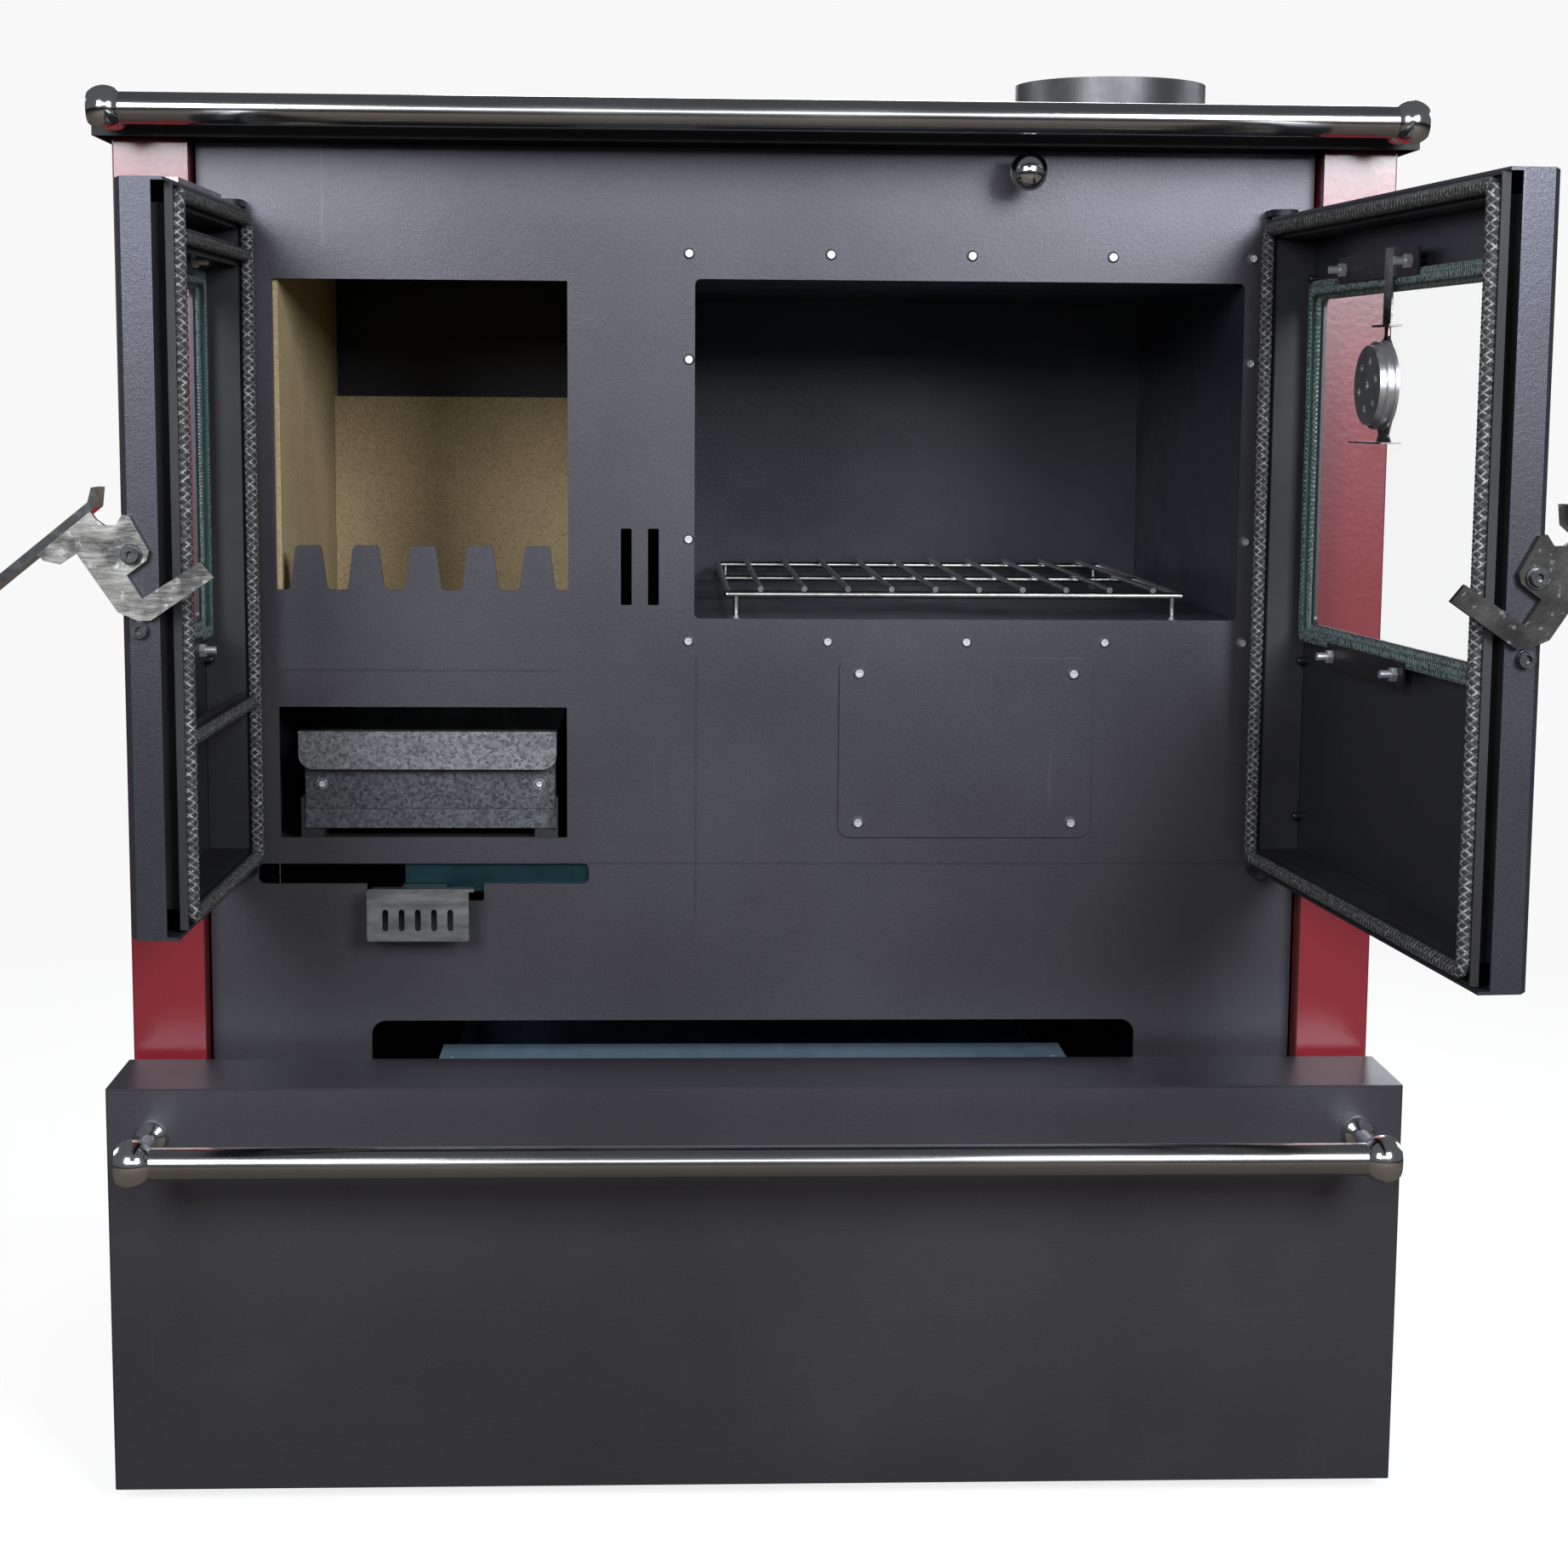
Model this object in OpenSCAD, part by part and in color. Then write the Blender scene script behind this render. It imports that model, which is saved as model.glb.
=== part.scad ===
/* [Body] */
// Width over the two side columns
body_w = 850; // [800:10:1000]
// Depth of the side panels
body_d = 590; // [560:10:700]
// Height of the body under the hob frame
body_h = 893; // [893:1:960]
// Width of the painted front flange of each column
column_w = 49; // [40:1:60]
// Depth of the front plate behind the column faces
plate_y = 18; // [16:1:24]
// Thickness of the front plate
plate_t = 4; // [3:0.5:6]
// Thickness of the folded sheet
sheet = 2; // [1.5:0.5:3]

/* [Hob] */
// Overhang of the hob frame beyond each side panel
hob_side = 8; // [4:1:20]
// Overhang of the hob frame in front of the columns
hob_front = 25; // [15:1:40]
// Height of the hob frame's skirt
hob_h = 27; // [22:1:40]
// Thickness of the cooking plate
hob_plate_t = 6; // [5:1:10]
// Radius of the round opening in the cooking plate
ring_r = 110; // [80:1:120]
// Radius of the middle lid
lid_r = 62; // [40:1:70]
// Outer radius of the flue collar
flue_r = 78; // [60:1:80]
// Wall of the flue collar
flue_wall = 2.5; // [2:0.5:4]
// Height of the flue collar above the cooking plate
flue_h = 65; // [50:1:90]
// Distance of the flue axis from the body's right side
flue_side = 122; // [116:1:150]
// Distance of the flue axis from the body's back
flue_back = 125; // [120:1:150]

/* [Rails] */
// Radius of the top rail
rail_r = 10; // [8:0.5:12]
// Distance of the top rail's axis in front of the hob frame
rail_out = 36; // [30:1:60]
// Radius of the balls on the top rail
rail_ball_r = 14; // [13:0.5:18]
// Radius of the drawer bar
bar_r = 10.5; // [8:0.5:12]
// Distance of the drawer bar's axis in front of the drawer
bar_out = 65; // [45:1:80]
// Radius of the balls on the drawer bar
bar_ball_r = 15.5; // [14:0.5:18]
// Height of the drawer bar
bar_z = 249; // [200:1:255]

/* [Firebox] */
// Distance of the firebox opening from the body's left side
fire_side = 100; // [97:1:105]
// Right edge of the firebox opening
fire_x1 = -128.5; // [-136:0.5:-128]
// Lower edge of the firebox opening between the teeth
fire_z0 = 597.5; // [590:0.5:610]
// Distance of the firebox opening's upper edge below the hob
fire_drop = 88; // [87:1:120]
// Height of the log teeth
tooth_h = 30; // [20:1:40]
// Number of log teeth
tooth_n = 5; // [4:1:6]
// Width of a tooth at its foot
tooth_foot = 29.3; // [24:0.1:32]
// Width of a tooth at its tip
tooth_tip = 14.5; // [8:0.1:18]
// Depth of the firebox behind the front plate
fire_depth = 316; // [280:1:330]
// Thickness of the firebricks
brick_t = 25; // [20:1:28]
// Height of the grate's top
grate_z = 560; // [550:1:580]

/* [Ash and air] */
// Lower edge of the ash opening
ash_z0 = 428; // [420:1:432]
// Upper edge of the ash opening
ash_z1 = 518; // [505:1:520]
// Depth of the ash pan
ash_pan_d = 300; // [200:5:310]
// Lower edge of the air slot
air_z0 = 396; // [390:1:400]
// Upper edge of the air slot
air_z1 = 410; // [406:1:412]
// Width of the air tab
air_tab_w = 69; // [50:1:80]
// Travel of the air slide to each side
air_travel = 24; // [15:1:24]

/* [Oven] */
// Left edge of the oven opening
oven_x0 = -43; // [-44:1:-40]
// Distance of the oven opening from the body's right side
oven_side = 96.5; // [95:0.5:105]
// Lower edge of the oven opening
oven_z0 = 579; // [575:1:600]
// Distance of the oven opening's upper edge below the hob
oven_drop = 86; // [85:1:120]
// Depth of the oven behind the front plate
oven_depth = 425; // [380:5:450]
// Width of the oven opening that the rack leaves free
rack_free = 54.5; // [30:0.5:80]
// Depth of the oven rack
rack_d = 365; // [250:5:370]
// Radius of the rack's rim wire
rack_rim_r = 2.6; // [2:0.1:3.5]
// Number of cross wires in the rack
rack_wires = 10; // [6:1:12]

/* [Doors] */
// Distance of the hinge axes from the body's sides
hinge_side = 75; // [73:1:79]
// Lower edge of the doors
door_z0 = 409; // [408:1:411]
// Distance of the doors' upper edge below the hob
door_drop = 43; // [37:1:45]
// Free edge of the firebox door
left_free_x = -93; // [-96:0.5:-92.5]
// Free edge of the oven door
right_free_x = -67; // [-67.5:0.5:-64]
// Depth of the door's front face before the column faces
door_out = 20; // [18:0.5:28]
// Depth of the folded edges of the door
door_edge = 21.5; // [18:0.5:22]
// Radius of the rope seal
rope_r = 4.5; // [4:0.1:5]
// Angle by which the firebox door stands open
left_open = 91.4; // [80:0.2:95]
// Angle by which the oven door stands open
right_open = 95; // [80:0.5:98]
// Thickness of the door glass
glass_t = 4; // [3:0.5:5]

/* [Wood drawer] */
// Lower edge of the drawer front
drawer_z0 = 10; // [6:1:14]
// Upper edge of the drawer front
drawer_z1 = 281; // [270:1:290]
// Depth of the drawer front's folded edges
drawer_fold = 84; // [60:1:90]
// Distance by which the drawer stands open
drawer_open = 16; // [2:1:60]
// Width of the drawer front beyond the wood box, both sides together
wood_free = 410; // [390:5:470]
// Depth of the wood box behind the drawer front
wood_d = 480; // [380:5:500]

/* [Hidden] */
$fn = 40;
eps = 0.02;
gap = 0.3;

// Body
half_w = body_w/2;
hinge_x = half_w - hinge_side;
door_z1 = body_h - door_drop;
fire_x0 = fire_side - half_w;
fire_z1 = body_h - fire_drop;
oven_x1 = half_w - oven_side;
oven_z1 = body_h - oven_drop;
rack_w = oven_x1 - oven_x0 - rack_free;
wood_w = body_w - wood_free;
flue_x = half_w - flue_side;
flue_y = body_d - flue_back;
column_in = half_w - column_w;
plate_half = column_in - sheet - gap;
plate_back = plate_y + plate_t;
back_y = body_d - sheet;
hob_z = body_h + hob_h;

// Hob
hob_half = half_w + hob_side;
hob_back = body_d + hob_side;
hob_rim = 48;
plate_in = hob_rim - 12;
hob_fit = 1;
flue_in = flue_r - flue_wall;
ring_x = -150;
ring_y = body_d/2 - 40;
ring_step = 8;

// Rails
rail_z = body_h + hob_h/2 + 0.5;
rail_end_x = half_w - 7.5;
bar_end_x = half_w - 29;
ball_cut = 10;
post_r = 6;

// Firebox: walls, bricks and ash room
casing_x0 = fire_x0 - brick_t - 6;
casing_x1 = fire_x1 + brick_t + 6.5;
brick_lx = fire_x0 + 3;
brick_rx = fire_x1 - 3 + 6;
brick_back_y = plate_back + fire_depth;
casing_back = brick_back_y + brick_t + 3;
casing_top = body_h - 8;
brick_top = body_h - 63;
back_brick_top = body_h - 165;
tooth_pitch = (fire_x1 - fire_x0 - 13 - tooth_foot)/(tooth_n - 1);
grate_t = 12;
shelf_z = grate_z - grate_t;

// Ash room and air
ash_x0 = fire_x0;
ash_x1 = fire_x1 - 1.2;
pan_x0 = ash_x0 + 15;
pan_x1 = ash_x1 - 8.5;
pan_z0 = ash_z0 + 4.5;
pan_z1 = pan_z0 + 58;
pan_y = plate_y + 15;
lip_z0 = ash_z1 - 43;
lip_z1 = ash_z1 - 17;
air_x0 = fire_x0 - 15.7;
air_x1 = fire_x1 + 13.6;
air_mid = fire_x0 + 98;
air_neck = 30;
air_slot_w = air_neck + 2*air_travel + 2;
air_tab_y = -5;
tab_z0 = air_z0 - 36;
tab_z1 = air_z0 - 6;

// Oven
oven_cx = (oven_x0 + oven_x1)/2;
oven_cz = (oven_z0 + oven_z1)/2;
oven_back = plate_back + oven_depth;
screw_head_r = 4;
screw_edge = 48.5;
screw_dx = (oven_x1 - oven_x0)/2 + 4.5;
screw_row = 16;
rack_x0 = oven_x0 + 23.5;
rack_y0 = plate_y + 40;
rack_z = oven_z0 + sheet + 12;
wire_r = 2;
cover_x = oven_cx + 0.8;
cover_z = 490.7;
cover_w = 174;
cover_h = 124;
cover_t = 2;

// Damper
knob_x = flue_x - 127;
knob_z = body_h - 16;
knob_r = 12.5;
rod_r = 4;
rod_end = flue_y - 135;
damper_w = 120;
damper_l = 120;
horn_w = 24;

// Wood drawer
drawer_y0 = -drawer_fold - drawer_open;
wood_z0 = 46;
wood_z1 = 240;
shelf_top = 270;
shelf_back = 75;
mouth_half = wood_w/2 + 45;
mouth_z0 = 40;
mouth_z1 = 300;
runner_z = wood_z0 - gap;

// Doors, drawn closed and swung open about their hinges
seal_y = plate_y - gap;
rope_y = seal_y - rope_r;
flange_y = rope_y - rope_r - gap;
lip_y = flange_y + 3.3;
door_front = -door_out;
door_edge_back = door_front + door_edge;
rope_hinge = 5;
left_rope_free = left_free_x - 19;
right_rope_free = right_free_x + 10;
rope_top = door_z1 - 8.6;
rope_bottom = door_z0 + 10.5;
rope_mid = ash_z1 + 7;
rope_head = fire_z1 + 13;
window_z0 = 581;
window_z1 = door_z1 - 55;
window_hinge = 35;
window_free = 39;
left_w0 = -hinge_x + window_hinge;
left_w1 = left_free_x - window_free;
right_w0 = right_free_x + window_free;
right_w1 = hinge_x - window_hinge;
glass_over = 10;
seal_t = 3;
clip_half_left = 45;
clip_half_right = 60;
clip_shift = 45;
stud_r = 2.6;
stud_h = 15;
dome_h = 7;
glass_front = door_front + sheet + seal_t;
glass_back = glass_front + glass_t;
strip_y = glass_back + gap;
strip_t = 1.5;
fold_r = 4;
fold_in = fold_r*(1 - sqrt(0.5));
pin_r = 4;
pin_fit = 0.08;
lug_t = 4;

// Latches, in the plane of the door's free edge: u towards the stove, v up
latch_t = 4;
latch_off = 1;
pivot_y = plate_y - 31;
pivot_z = 636;
stop_u = 3;
stop_v = -43.8;
bolt_r = 5;
slot_w = 7.4;
slot_z0 = 588;
slot_z1 = 640;
left_latch_x = left_free_x + latch_off;
right_latch_x = right_free_x - latch_off;
left_slot_x = left_latch_x + latch_t/2 + 0.8;
right_slot_x = right_latch_x - latch_t/2 - 0.8;
grip_angle = 38.9;
grip_l = 120;
grip_w = 22;
grip_t = 5;

// Thermometer on the oven door
thermo_x = hinge_x - 187;
thermo_z = window_z1 - 57;
thermo_r = 27;
hanger_y = strip_y + strip_t + gap;
hanger_t = 1.2;

// Puts the middle of the footprint at the origin
module seat() {
    translate([0, -body_d/2, 0]) children();
}

// Box between two corners
module span(a, b) {
    translate(a) cube(b - a);
}

// Cylinder along X from one X to another
module bar_x(x0, x1, r, y, z, fn = 40) {
    translate([x0, y, z]) rotate([0, 90, 0]) cylinder(r = r, h = x1 - x0, $fn = fn);
}

// Cylinder along Y from one Y to another
module bar_y(x, r, y0, y1, z, fn = 40) {
    translate([x, y0, z]) rotate([-90, 0, 0]) cylinder(r = r, h = y1 - y0, $fn = fn);
}

// Upright rectangle with round corners, thick along Y
module card(x0, x1, z0, z1, r, y0, y1) {
    difference() {
        span([x0, y0, z0], [x1, y1, z1]);
        for (x = [x0, x1], z = [z0, z1])
            corner_waste(x, z, x == x0 ? 1 : -1, z == z0 ? 1 : -1, r, y0, y1);
    }
}

// Waste outside one round corner of a card
module corner_waste(x, z, sx, sz, r, y0, y1) {
    difference() {
        translate([x + sx*(r/2 - 1), (y0 + y1)/2, z + sz*(r/2 - 1)])
            cube([r + 2, y1 - y0 + 2, r + 2], center = true);
        bar_y(x + sx*r, r, y0 - 2, y1 + 2, z + sz*r, 32);
    }
}

// Base

module base_tray() {
    color([0.12, 0.12, 0.13]) seat() difference() {
        span([-half_w + sheet + gap, sheet + gap, 0], [half_w - sheet - gap, body_d - sheet - gap, 30]);
        span([-half_w + 3*sheet, plate_back + 2, sheet],
            [half_w - 3*sheet, body_d - 3*sheet, 40]);
        for (side = [-1, 1])
            translate([side*(half_w + column_in - gap)/2, plate_back/2, 20])
                cube([half_w - column_in + gap, plate_back + 2*gap, 50], center = true);
    }
}

// Side panels: one sheet folded round the front into a column, and turned in at the back

module side_panel(side) {
    outer = side*half_w;
    module wall(x0, x1, y0, y1) {
        span([min(side*x0, side*x1), y0, 8], [max(side*x0, side*x1), y1, body_h]);
    }
    color([0.48, 0.10, 0.13]) seat() difference() {
        union() {
            wall(half_w - sheet, half_w, 0, body_d);
            wall(column_in, half_w, 0, sheet);
            wall(column_in, column_in + sheet, 0, plate_back);
            wall(half_w - 20, half_w, body_d - sheet, body_d);
        }
        translate([outer, 0, 0]) rotate([0, 0, 45])
            cube([1.6, 1.6, 3*body_h], center = true);
    }
}
module side_panel_left() {
    side_panel(-1);
}
module side_panel_right() {
    side_panel(1);
}

module back_panel() {
    inner = half_w - 20 - gap;
    color([0.16, 0.16, 0.17]) seat() difference() {
        span([-inner, back_y, 8], [inner, body_d, body_h]);
        for (row = [0:4], col = [-3:3])
            translate([col*70 - 30, body_d - 4, 120 + row*36]) cube([60, 8, 8]);
    }
}

// Front plate with every opening cut from one sheet

module tooth(x) {
    translate([x, plate_back, fire_z0]) rotate([90, 0, 0]) linear_extrude(plate_t)
        polygon([[-tooth_foot/2, -1], [-tooth_foot/2, 0], [-tooth_foot/2 + 2.5, 1.6],
            [-tooth_tip/2 - 1.6, tooth_h - 2.4], [-tooth_tip/2, tooth_h],
            [tooth_tip/2, tooth_h], [tooth_tip/2 + 1.6, tooth_h - 2.4],
            [tooth_foot/2 - 2.5, 1.6], [tooth_foot/2, 0], [tooth_foot/2, -1]]);
}
module plate_cut(x0, x1, z0, z1, r) {
    card(x0, x1, z0, z1, r, plate_y - 1, plate_back + 1);
}
module screw_places() {
    for (col = [-2:2], side = [-1, 1])
        translate([oven_cx + 0.5 + col*screw_dx/2, 0, oven_cz + 0.7 + side*screw_dz()]) children();
    for (side = [-1, 1], z = [oven_cz + 60.5, oven_cz - 60])
        translate([oven_cx + 0.5 + side*screw_dx, 0, z]) children();
}
function screw_dz() = (oven_z1 - oven_z0)/2 + screw_row;
module cover_places() {
    for (sx = [-1, 1], sz = [-1, 1])
        translate([cover_x + sx*73.6, 0, cover_z + sz*51.6]) children();
}
module front_plate() {
    color([0.20, 0.20, 0.22]) seat() {
        difference() {
            span([-plate_half, plate_y, 30.3], [plate_half, plate_back, body_h]);
            plate_cut(fire_x0, fire_x1, fire_z0, fire_z1, 1);
            plate_cut(ash_x0, ash_x1, ash_z0, ash_z1, 1);
            plate_cut(air_x0, air_x1, air_z0, air_z1, 4);
            plate_cut(air_mid - air_slot_w/2, air_mid + air_slot_w/2, air_z0 - 12, air_z0 + 5, 2);
            plate_cut(oven_x0, oven_x1, oven_z0, oven_z1, 4);
            plate_cut(-mouth_half, mouth_half, mouth_z0, mouth_z1, 10);
            for (x = [left_slot_x, right_slot_x])
                plate_cut(x - slot_w/2, x + slot_w/2, slot_z0, slot_z1, 1);
            screw_places() bar_y(0, 2.1, plate_y - 1, plate_back + 1, 0, 16);
            bar_y(knob_x, rod_r + pin_fit, plate_y - 1, plate_back + 1, knob_z);
        }
        for (i = [0:tooth_n - 1])
            tooth(fire_x0 + 6.8 + tooth_foot/2 + i*tooth_pitch);
    }
}

// Fasteners

module pan_screw(r, y, length) {
    difference() {
        translate([0, y, 0]) rotate([90, 0, 0]) cylinder(r1 = r, r2 = r*0.62, h = r*0.6, $fn = 24);
        for (a = [0, 90]) translate([0, y - r*0.6, 0]) rotate([0, a, 0])
            cube([r*0.9, r*0.4, r*0.24], center = true);
    }
    bar_y(0, r*0.48, y - eps, y + length, 0, 16);
}
module oven_screws() {
    color([0.75, 0.75, 0.78]) seat() screw_places() pan_screw(screw_head_r, plate_y, 10);
}
module cover_plate() {
    color([0.20, 0.20, 0.22]) seat() difference() {
        card(cover_x - cover_w/2, cover_x + cover_w/2, cover_z - cover_h/2,
            cover_z + cover_h/2, 8, plate_y - cover_t, plate_y);
        cover_places() bar_y(0, 2.6, plate_y - cover_t - 1, plate_y + 1, 0, 16);
    }
}
module cover_screws() {
    color([0.75, 0.75, 0.78]) seat() cover_places() {
        pan_screw(4.5, plate_y - cover_t, cover_t);
    }
}

// Hob: a folded rim, the cooking plate in its rebate, and a ring and a lid in the plate

module hob_frame() {
    color([0.13, 0.13, 0.14]) seat() difference() {
        span([-hob_half, -hob_front, body_h], [hob_half, hob_back, hob_z]);
        span([-hob_half + hob_rim, hob_rim - hob_front, body_h - 1],
            [hob_half - hob_rim, hob_back - hob_rim, hob_z + 1]);
        span([-hob_half + plate_in, plate_in - hob_front, hob_z - hob_plate_t - 1],
            [hob_half - plate_in, hob_back - plate_in, hob_z + 1]);
        difference() {
            span([-hob_half + 3, 3 - hob_front, body_h - 1],
                [hob_half - 3, hob_back - 3, hob_z - hob_plate_t - 4]);
            span([-hob_half + hob_rim - 3, hob_rim - 3 - hob_front, body_h - 2],
                [hob_half - hob_rim + 3, hob_back - hob_rim + 3, hob_z]);
            for (side = [-1, 1])
                span([side*(half_w - 22) - 22, 0, body_h - 2], [side*(half_w - 22) + 22, body_d, hob_z]);
        }
    }
}
module hob_plate() {
    z0 = hob_z - hob_plate_t - 1;
    color([0.17, 0.17, 0.18]) seat() difference() {
        span([-hob_half + plate_in + hob_fit, plate_in - hob_front + hob_fit, z0],
            [hob_half - plate_in - hob_fit, hob_back - plate_in - hob_fit, z0 + hob_plate_t]);
        translate([ring_x, ring_y, z0 - 1]) cylinder(r = ring_r - ring_step, h = 20, $fn = 64);
        translate([ring_x, ring_y, z0 + 3]) cylinder(r = ring_r, h = 20, $fn = 64);
        translate([flue_x, flue_y, z0 - 1]) cylinder(r = flue_in, h = 20, $fn = 64);
    }
}
module hob_ring() {
    z0 = hob_z - hob_plate_t - 1;
    color([0.15, 0.15, 0.16]) seat() translate([ring_x, ring_y, 0]) rotate_extrude($fn = 64)
        polygon([[lid_r - ring_step + 0.5, z0 + 0.5], [ring_r - ring_step - 1, z0 + 0.5],
            [ring_r - ring_step - 1, z0 + 3], [ring_r - 1, z0 + 3], [ring_r - 1, z0 + hob_plate_t],
            [lid_r + 0.5, z0 + hob_plate_t], [lid_r + 0.5, z0 + 3],
            [lid_r - ring_step + 0.5, z0 + 3]]);
}
module hob_lid() {
    z0 = hob_z - hob_plate_t - 1;
    color([0.15, 0.15, 0.16]) seat() translate([ring_x, ring_y, 0]) difference() {
        rotate_extrude($fn = 64) polygon([[0, z0 + 0.5], [lid_r - ring_step - 0.5, z0 + 0.5],
            [lid_r - ring_step - 0.5, z0 + 3], [lid_r - 0.5, z0 + 3],
            [lid_r - 0.5, z0 + hob_plate_t], [0, z0 + hob_plate_t]]);
        translate([0, 28, z0 + 5]) cube([34, 10, 4], center = true);
    }
}
module flue_collar() {
    z0 = hob_z - 1;
    color([0.22, 0.22, 0.24]) seat() translate([flue_x, flue_y, z0]) difference() {
        cylinder(r = flue_r, h = flue_h + 1, $fn = 96);
        translate([0, 0, -1]) cylinder(r = flue_in, h = flue_h + 4, $fn = 96);
    }
}

// Rails: a tube whose ends sit in cut balls, each on a post with a domed foot

module rail_ball(r, tube_r, side) {
    difference() {
        sphere(r = r, $fn = 48);
        translate([side*(ball_cut + r), 0, 0]) cube(2*r, center = true);
        bar_x(side > 0 ? -2*r : -4, side > 0 ? 4 : 2*r, tube_r + 0.05, 0, 0);
    }
}
module rail_end(x, y, z, r, tube_r, out, side) {
    foot_h = 7;
    color([0.80, 0.80, 0.82]) seat() translate([x, y, z]) {
        rail_ball(r, tube_r, side);
        difference() {
            bar_y(0, post_r, 0, out - 1, 0, 32);
            sphere(r = r - 1, $fn = 48);
            bar_x(-r, r, tube_r + 0.05, 0, 0);
        }
        translate([0, out, 0]) rotate([90, 0, 0]) rotate_extrude($fn = 40)
            polygon([[0, 0], [11, 0], [11, 2], [9.6, 4.6], [post_r, foot_h], [0, foot_h]]);
    }
}
module top_rail() {
    color([0.80, 0.80, 0.82]) seat()
        bar_x(-rail_end_x - 3, rail_end_x + 3, rail_r, -hob_front - rail_out, rail_z, 48);
}
module rail_end_left() {
    rail_end(-rail_end_x, -hob_front - rail_out, rail_z, rail_ball_r, rail_r, rail_out, -1);
}
module rail_end_right() {
    rail_end(rail_end_x, -hob_front - rail_out, rail_z, rail_ball_r, rail_r, rail_out, 1);
}

// Firebox

module firebox_casing() {
    color([0.10, 0.10, 0.11]) seat() difference() {
        span([casing_x0, plate_back + gap, ash_z0 - 5], [casing_x1, casing_back, casing_top]);
        span([casing_x0 + 3, plate_back - 1, shelf_z], [casing_x1 - 3, casing_back - 3, casing_top + 1]);
        span([ash_x0 - 6, plate_back - 1, ash_z0 - 2], [ash_x1 + 6, casing_back - 3, shelf_z - 4]);
        span([fire_x0 + 20, plate_back + 30, shelf_z - 10],
            [fire_x1 - 20, brick_back_y - 30, shelf_z + 10]);
        span([casing_x1 - 10, plate_back + 10, brick_top],
            [casing_x1 + 10, casing_back + 10, casing_top + 2]);
    }
}
module brick(a, b) {
    color([0.80, 0.72, 0.58]) span(a, b);
}
module firebrick_left() {
    seam = plate_back + 122;
    seat() {
        brick([casing_x0 + 3 + gap, plate_back + 2, shelf_z + gap], [brick_lx, seam, brick_top]);
        brick([casing_x0 + 3 + gap, seam + 1, shelf_z + gap],
            [brick_lx, brick_back_y + brick_t, brick_top]);
    }
}
module firebrick_right() {
    seat() brick([brick_rx, plate_back + 2, shelf_z + gap],
        [casing_x1 - 3 - gap, brick_back_y + brick_t, brick_top]);
}
module firebrick_back() {
    seat() brick([brick_lx + gap, brick_back_y, shelf_z + gap],
        [brick_rx - gap, brick_back_y + brick_t, back_brick_top]);
}
module fire_grate() {
    x0 = brick_lx + 2;
    x1 = brick_rx - 2;
    y0 = plate_back + 4;
    y1 = brick_back_y - 2;
    slots = 9;
    pitch = (x1 - x0 - 16)/slots;
    color([0.14, 0.13, 0.13]) seat() difference() {
        span([x0, y0, shelf_z + gap], [x1, y1, grate_z]);
        for (i = [0:slots - 1], half = [0, 1])
            span([x0 + 8 + (i + 0.2)*pitch, y0 + 30 + half*(y1 - y0 - 46)/2, shelf_z - 1],
                [x0 + 8 + (i + 0.8)*pitch, y0 + 14 + (half + 1)*(y1 - y0 - 30)/2, grate_z + 1]);
    }
}

// Angle guides that carry the ash pan on the floor of the ash room

module ash_guides() {
    color([0.30, 0.31, 0.32]) seat() for (side = [0, 1]) {
        x = side == 0 ? pan_x0 - 1.5 - gap : pan_x1 + gap;
        foot = side == 0 ? pan_x0 - 1.5 - gap : pan_x1 - 14;
        span([x, plate_back + 2, ash_z0 - 2], [x + 1.5, brick_back_y, ash_z0 + 27]);
        span([foot, plate_back + 2, ash_z0 - 2], [foot + 15.5, brick_back_y, pan_z0 - gap]);
    }
}

// Ash pan with its folded lip, and the sliding air shutter with its tab

module ash_pan() {
    color([0.62, 0.65, 0.67]) seat() difference() {
        span([pan_x0, pan_y, pan_z0], [pan_x1, pan_y + ash_pan_d, pan_z1]);
        span([pan_x0 + 1.5, pan_y + 1.5, pan_z0 + 1.5],
            [pan_x1 - 1.5, pan_y + ash_pan_d - 1.5, pan_z1 + 1]);
    }
}
module ash_pan_lip() {
    out = 14;
    color([0.66, 0.69, 0.71]) seat() {
        difference() {
            union() {
                span([pan_x0 - 2.5, pan_y - out, lip_z1 - 1.5], [pan_x1 + 1.2, pan_y, lip_z1]);
                span([pan_x0 - 2.5, pan_y - out, lip_z0], [pan_x1 + 1.2, pan_y - out + 1.5, lip_z1]);
                span([pan_x0 + 0.5, pan_y - 1.5, pan_z0 + 14], [pan_x1 - 0.5, pan_y, lip_z1]);
            }
            corner_waste(pan_x0 - 2.5, lip_z0, 1, 1, 10, pan_y - out - 1, pan_y - out + 2);
            corner_waste(pan_x1 + 1.2, lip_z0, -1, 1, 10, pan_y - out - 1, pan_y - out + 2);
        }
        for (x = [pan_x0 + 12, pan_x1 - 11])
            translate([x, 0, pan_z0 + 31]) pan_screw(3.4, pan_y - 1.5, 1);
    }
}
module air_slide() {
    color([0.30, 0.34, 0.37]) seat() {
        span([air_mid - 14, plate_back + gap, air_z0 - 6],
            [air_x1 + 10, plate_back + gap + 2, air_z1 + 8]);
        span([air_mid - air_neck/2, air_tab_y, air_z0 - 2],
            [air_mid + air_neck/2, plate_back + 1, air_z0]);
        span([air_mid - air_tab_w/2, air_tab_y, air_z0 - 2],
            [air_mid + air_tab_w/2, air_tab_y + 9, air_z0]);
        difference() {
            card(air_mid - air_tab_w/2 - 3.5, air_mid + air_tab_w/2 - 3.5, tab_z0, air_z0, 2,
                air_tab_y, air_tab_y + 2);
            for (i = [-2:2])
                card(air_mid - 3.5 + i*11 - 2, air_mid - 3.5 + i*11 + 2, tab_z0 + 7, tab_z0 + 22,
                    1.9, air_tab_y - 1, air_tab_y + 3);
        }
    }
}

// Oven box, flanged against the back of the front plate, and its wire rack

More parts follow.
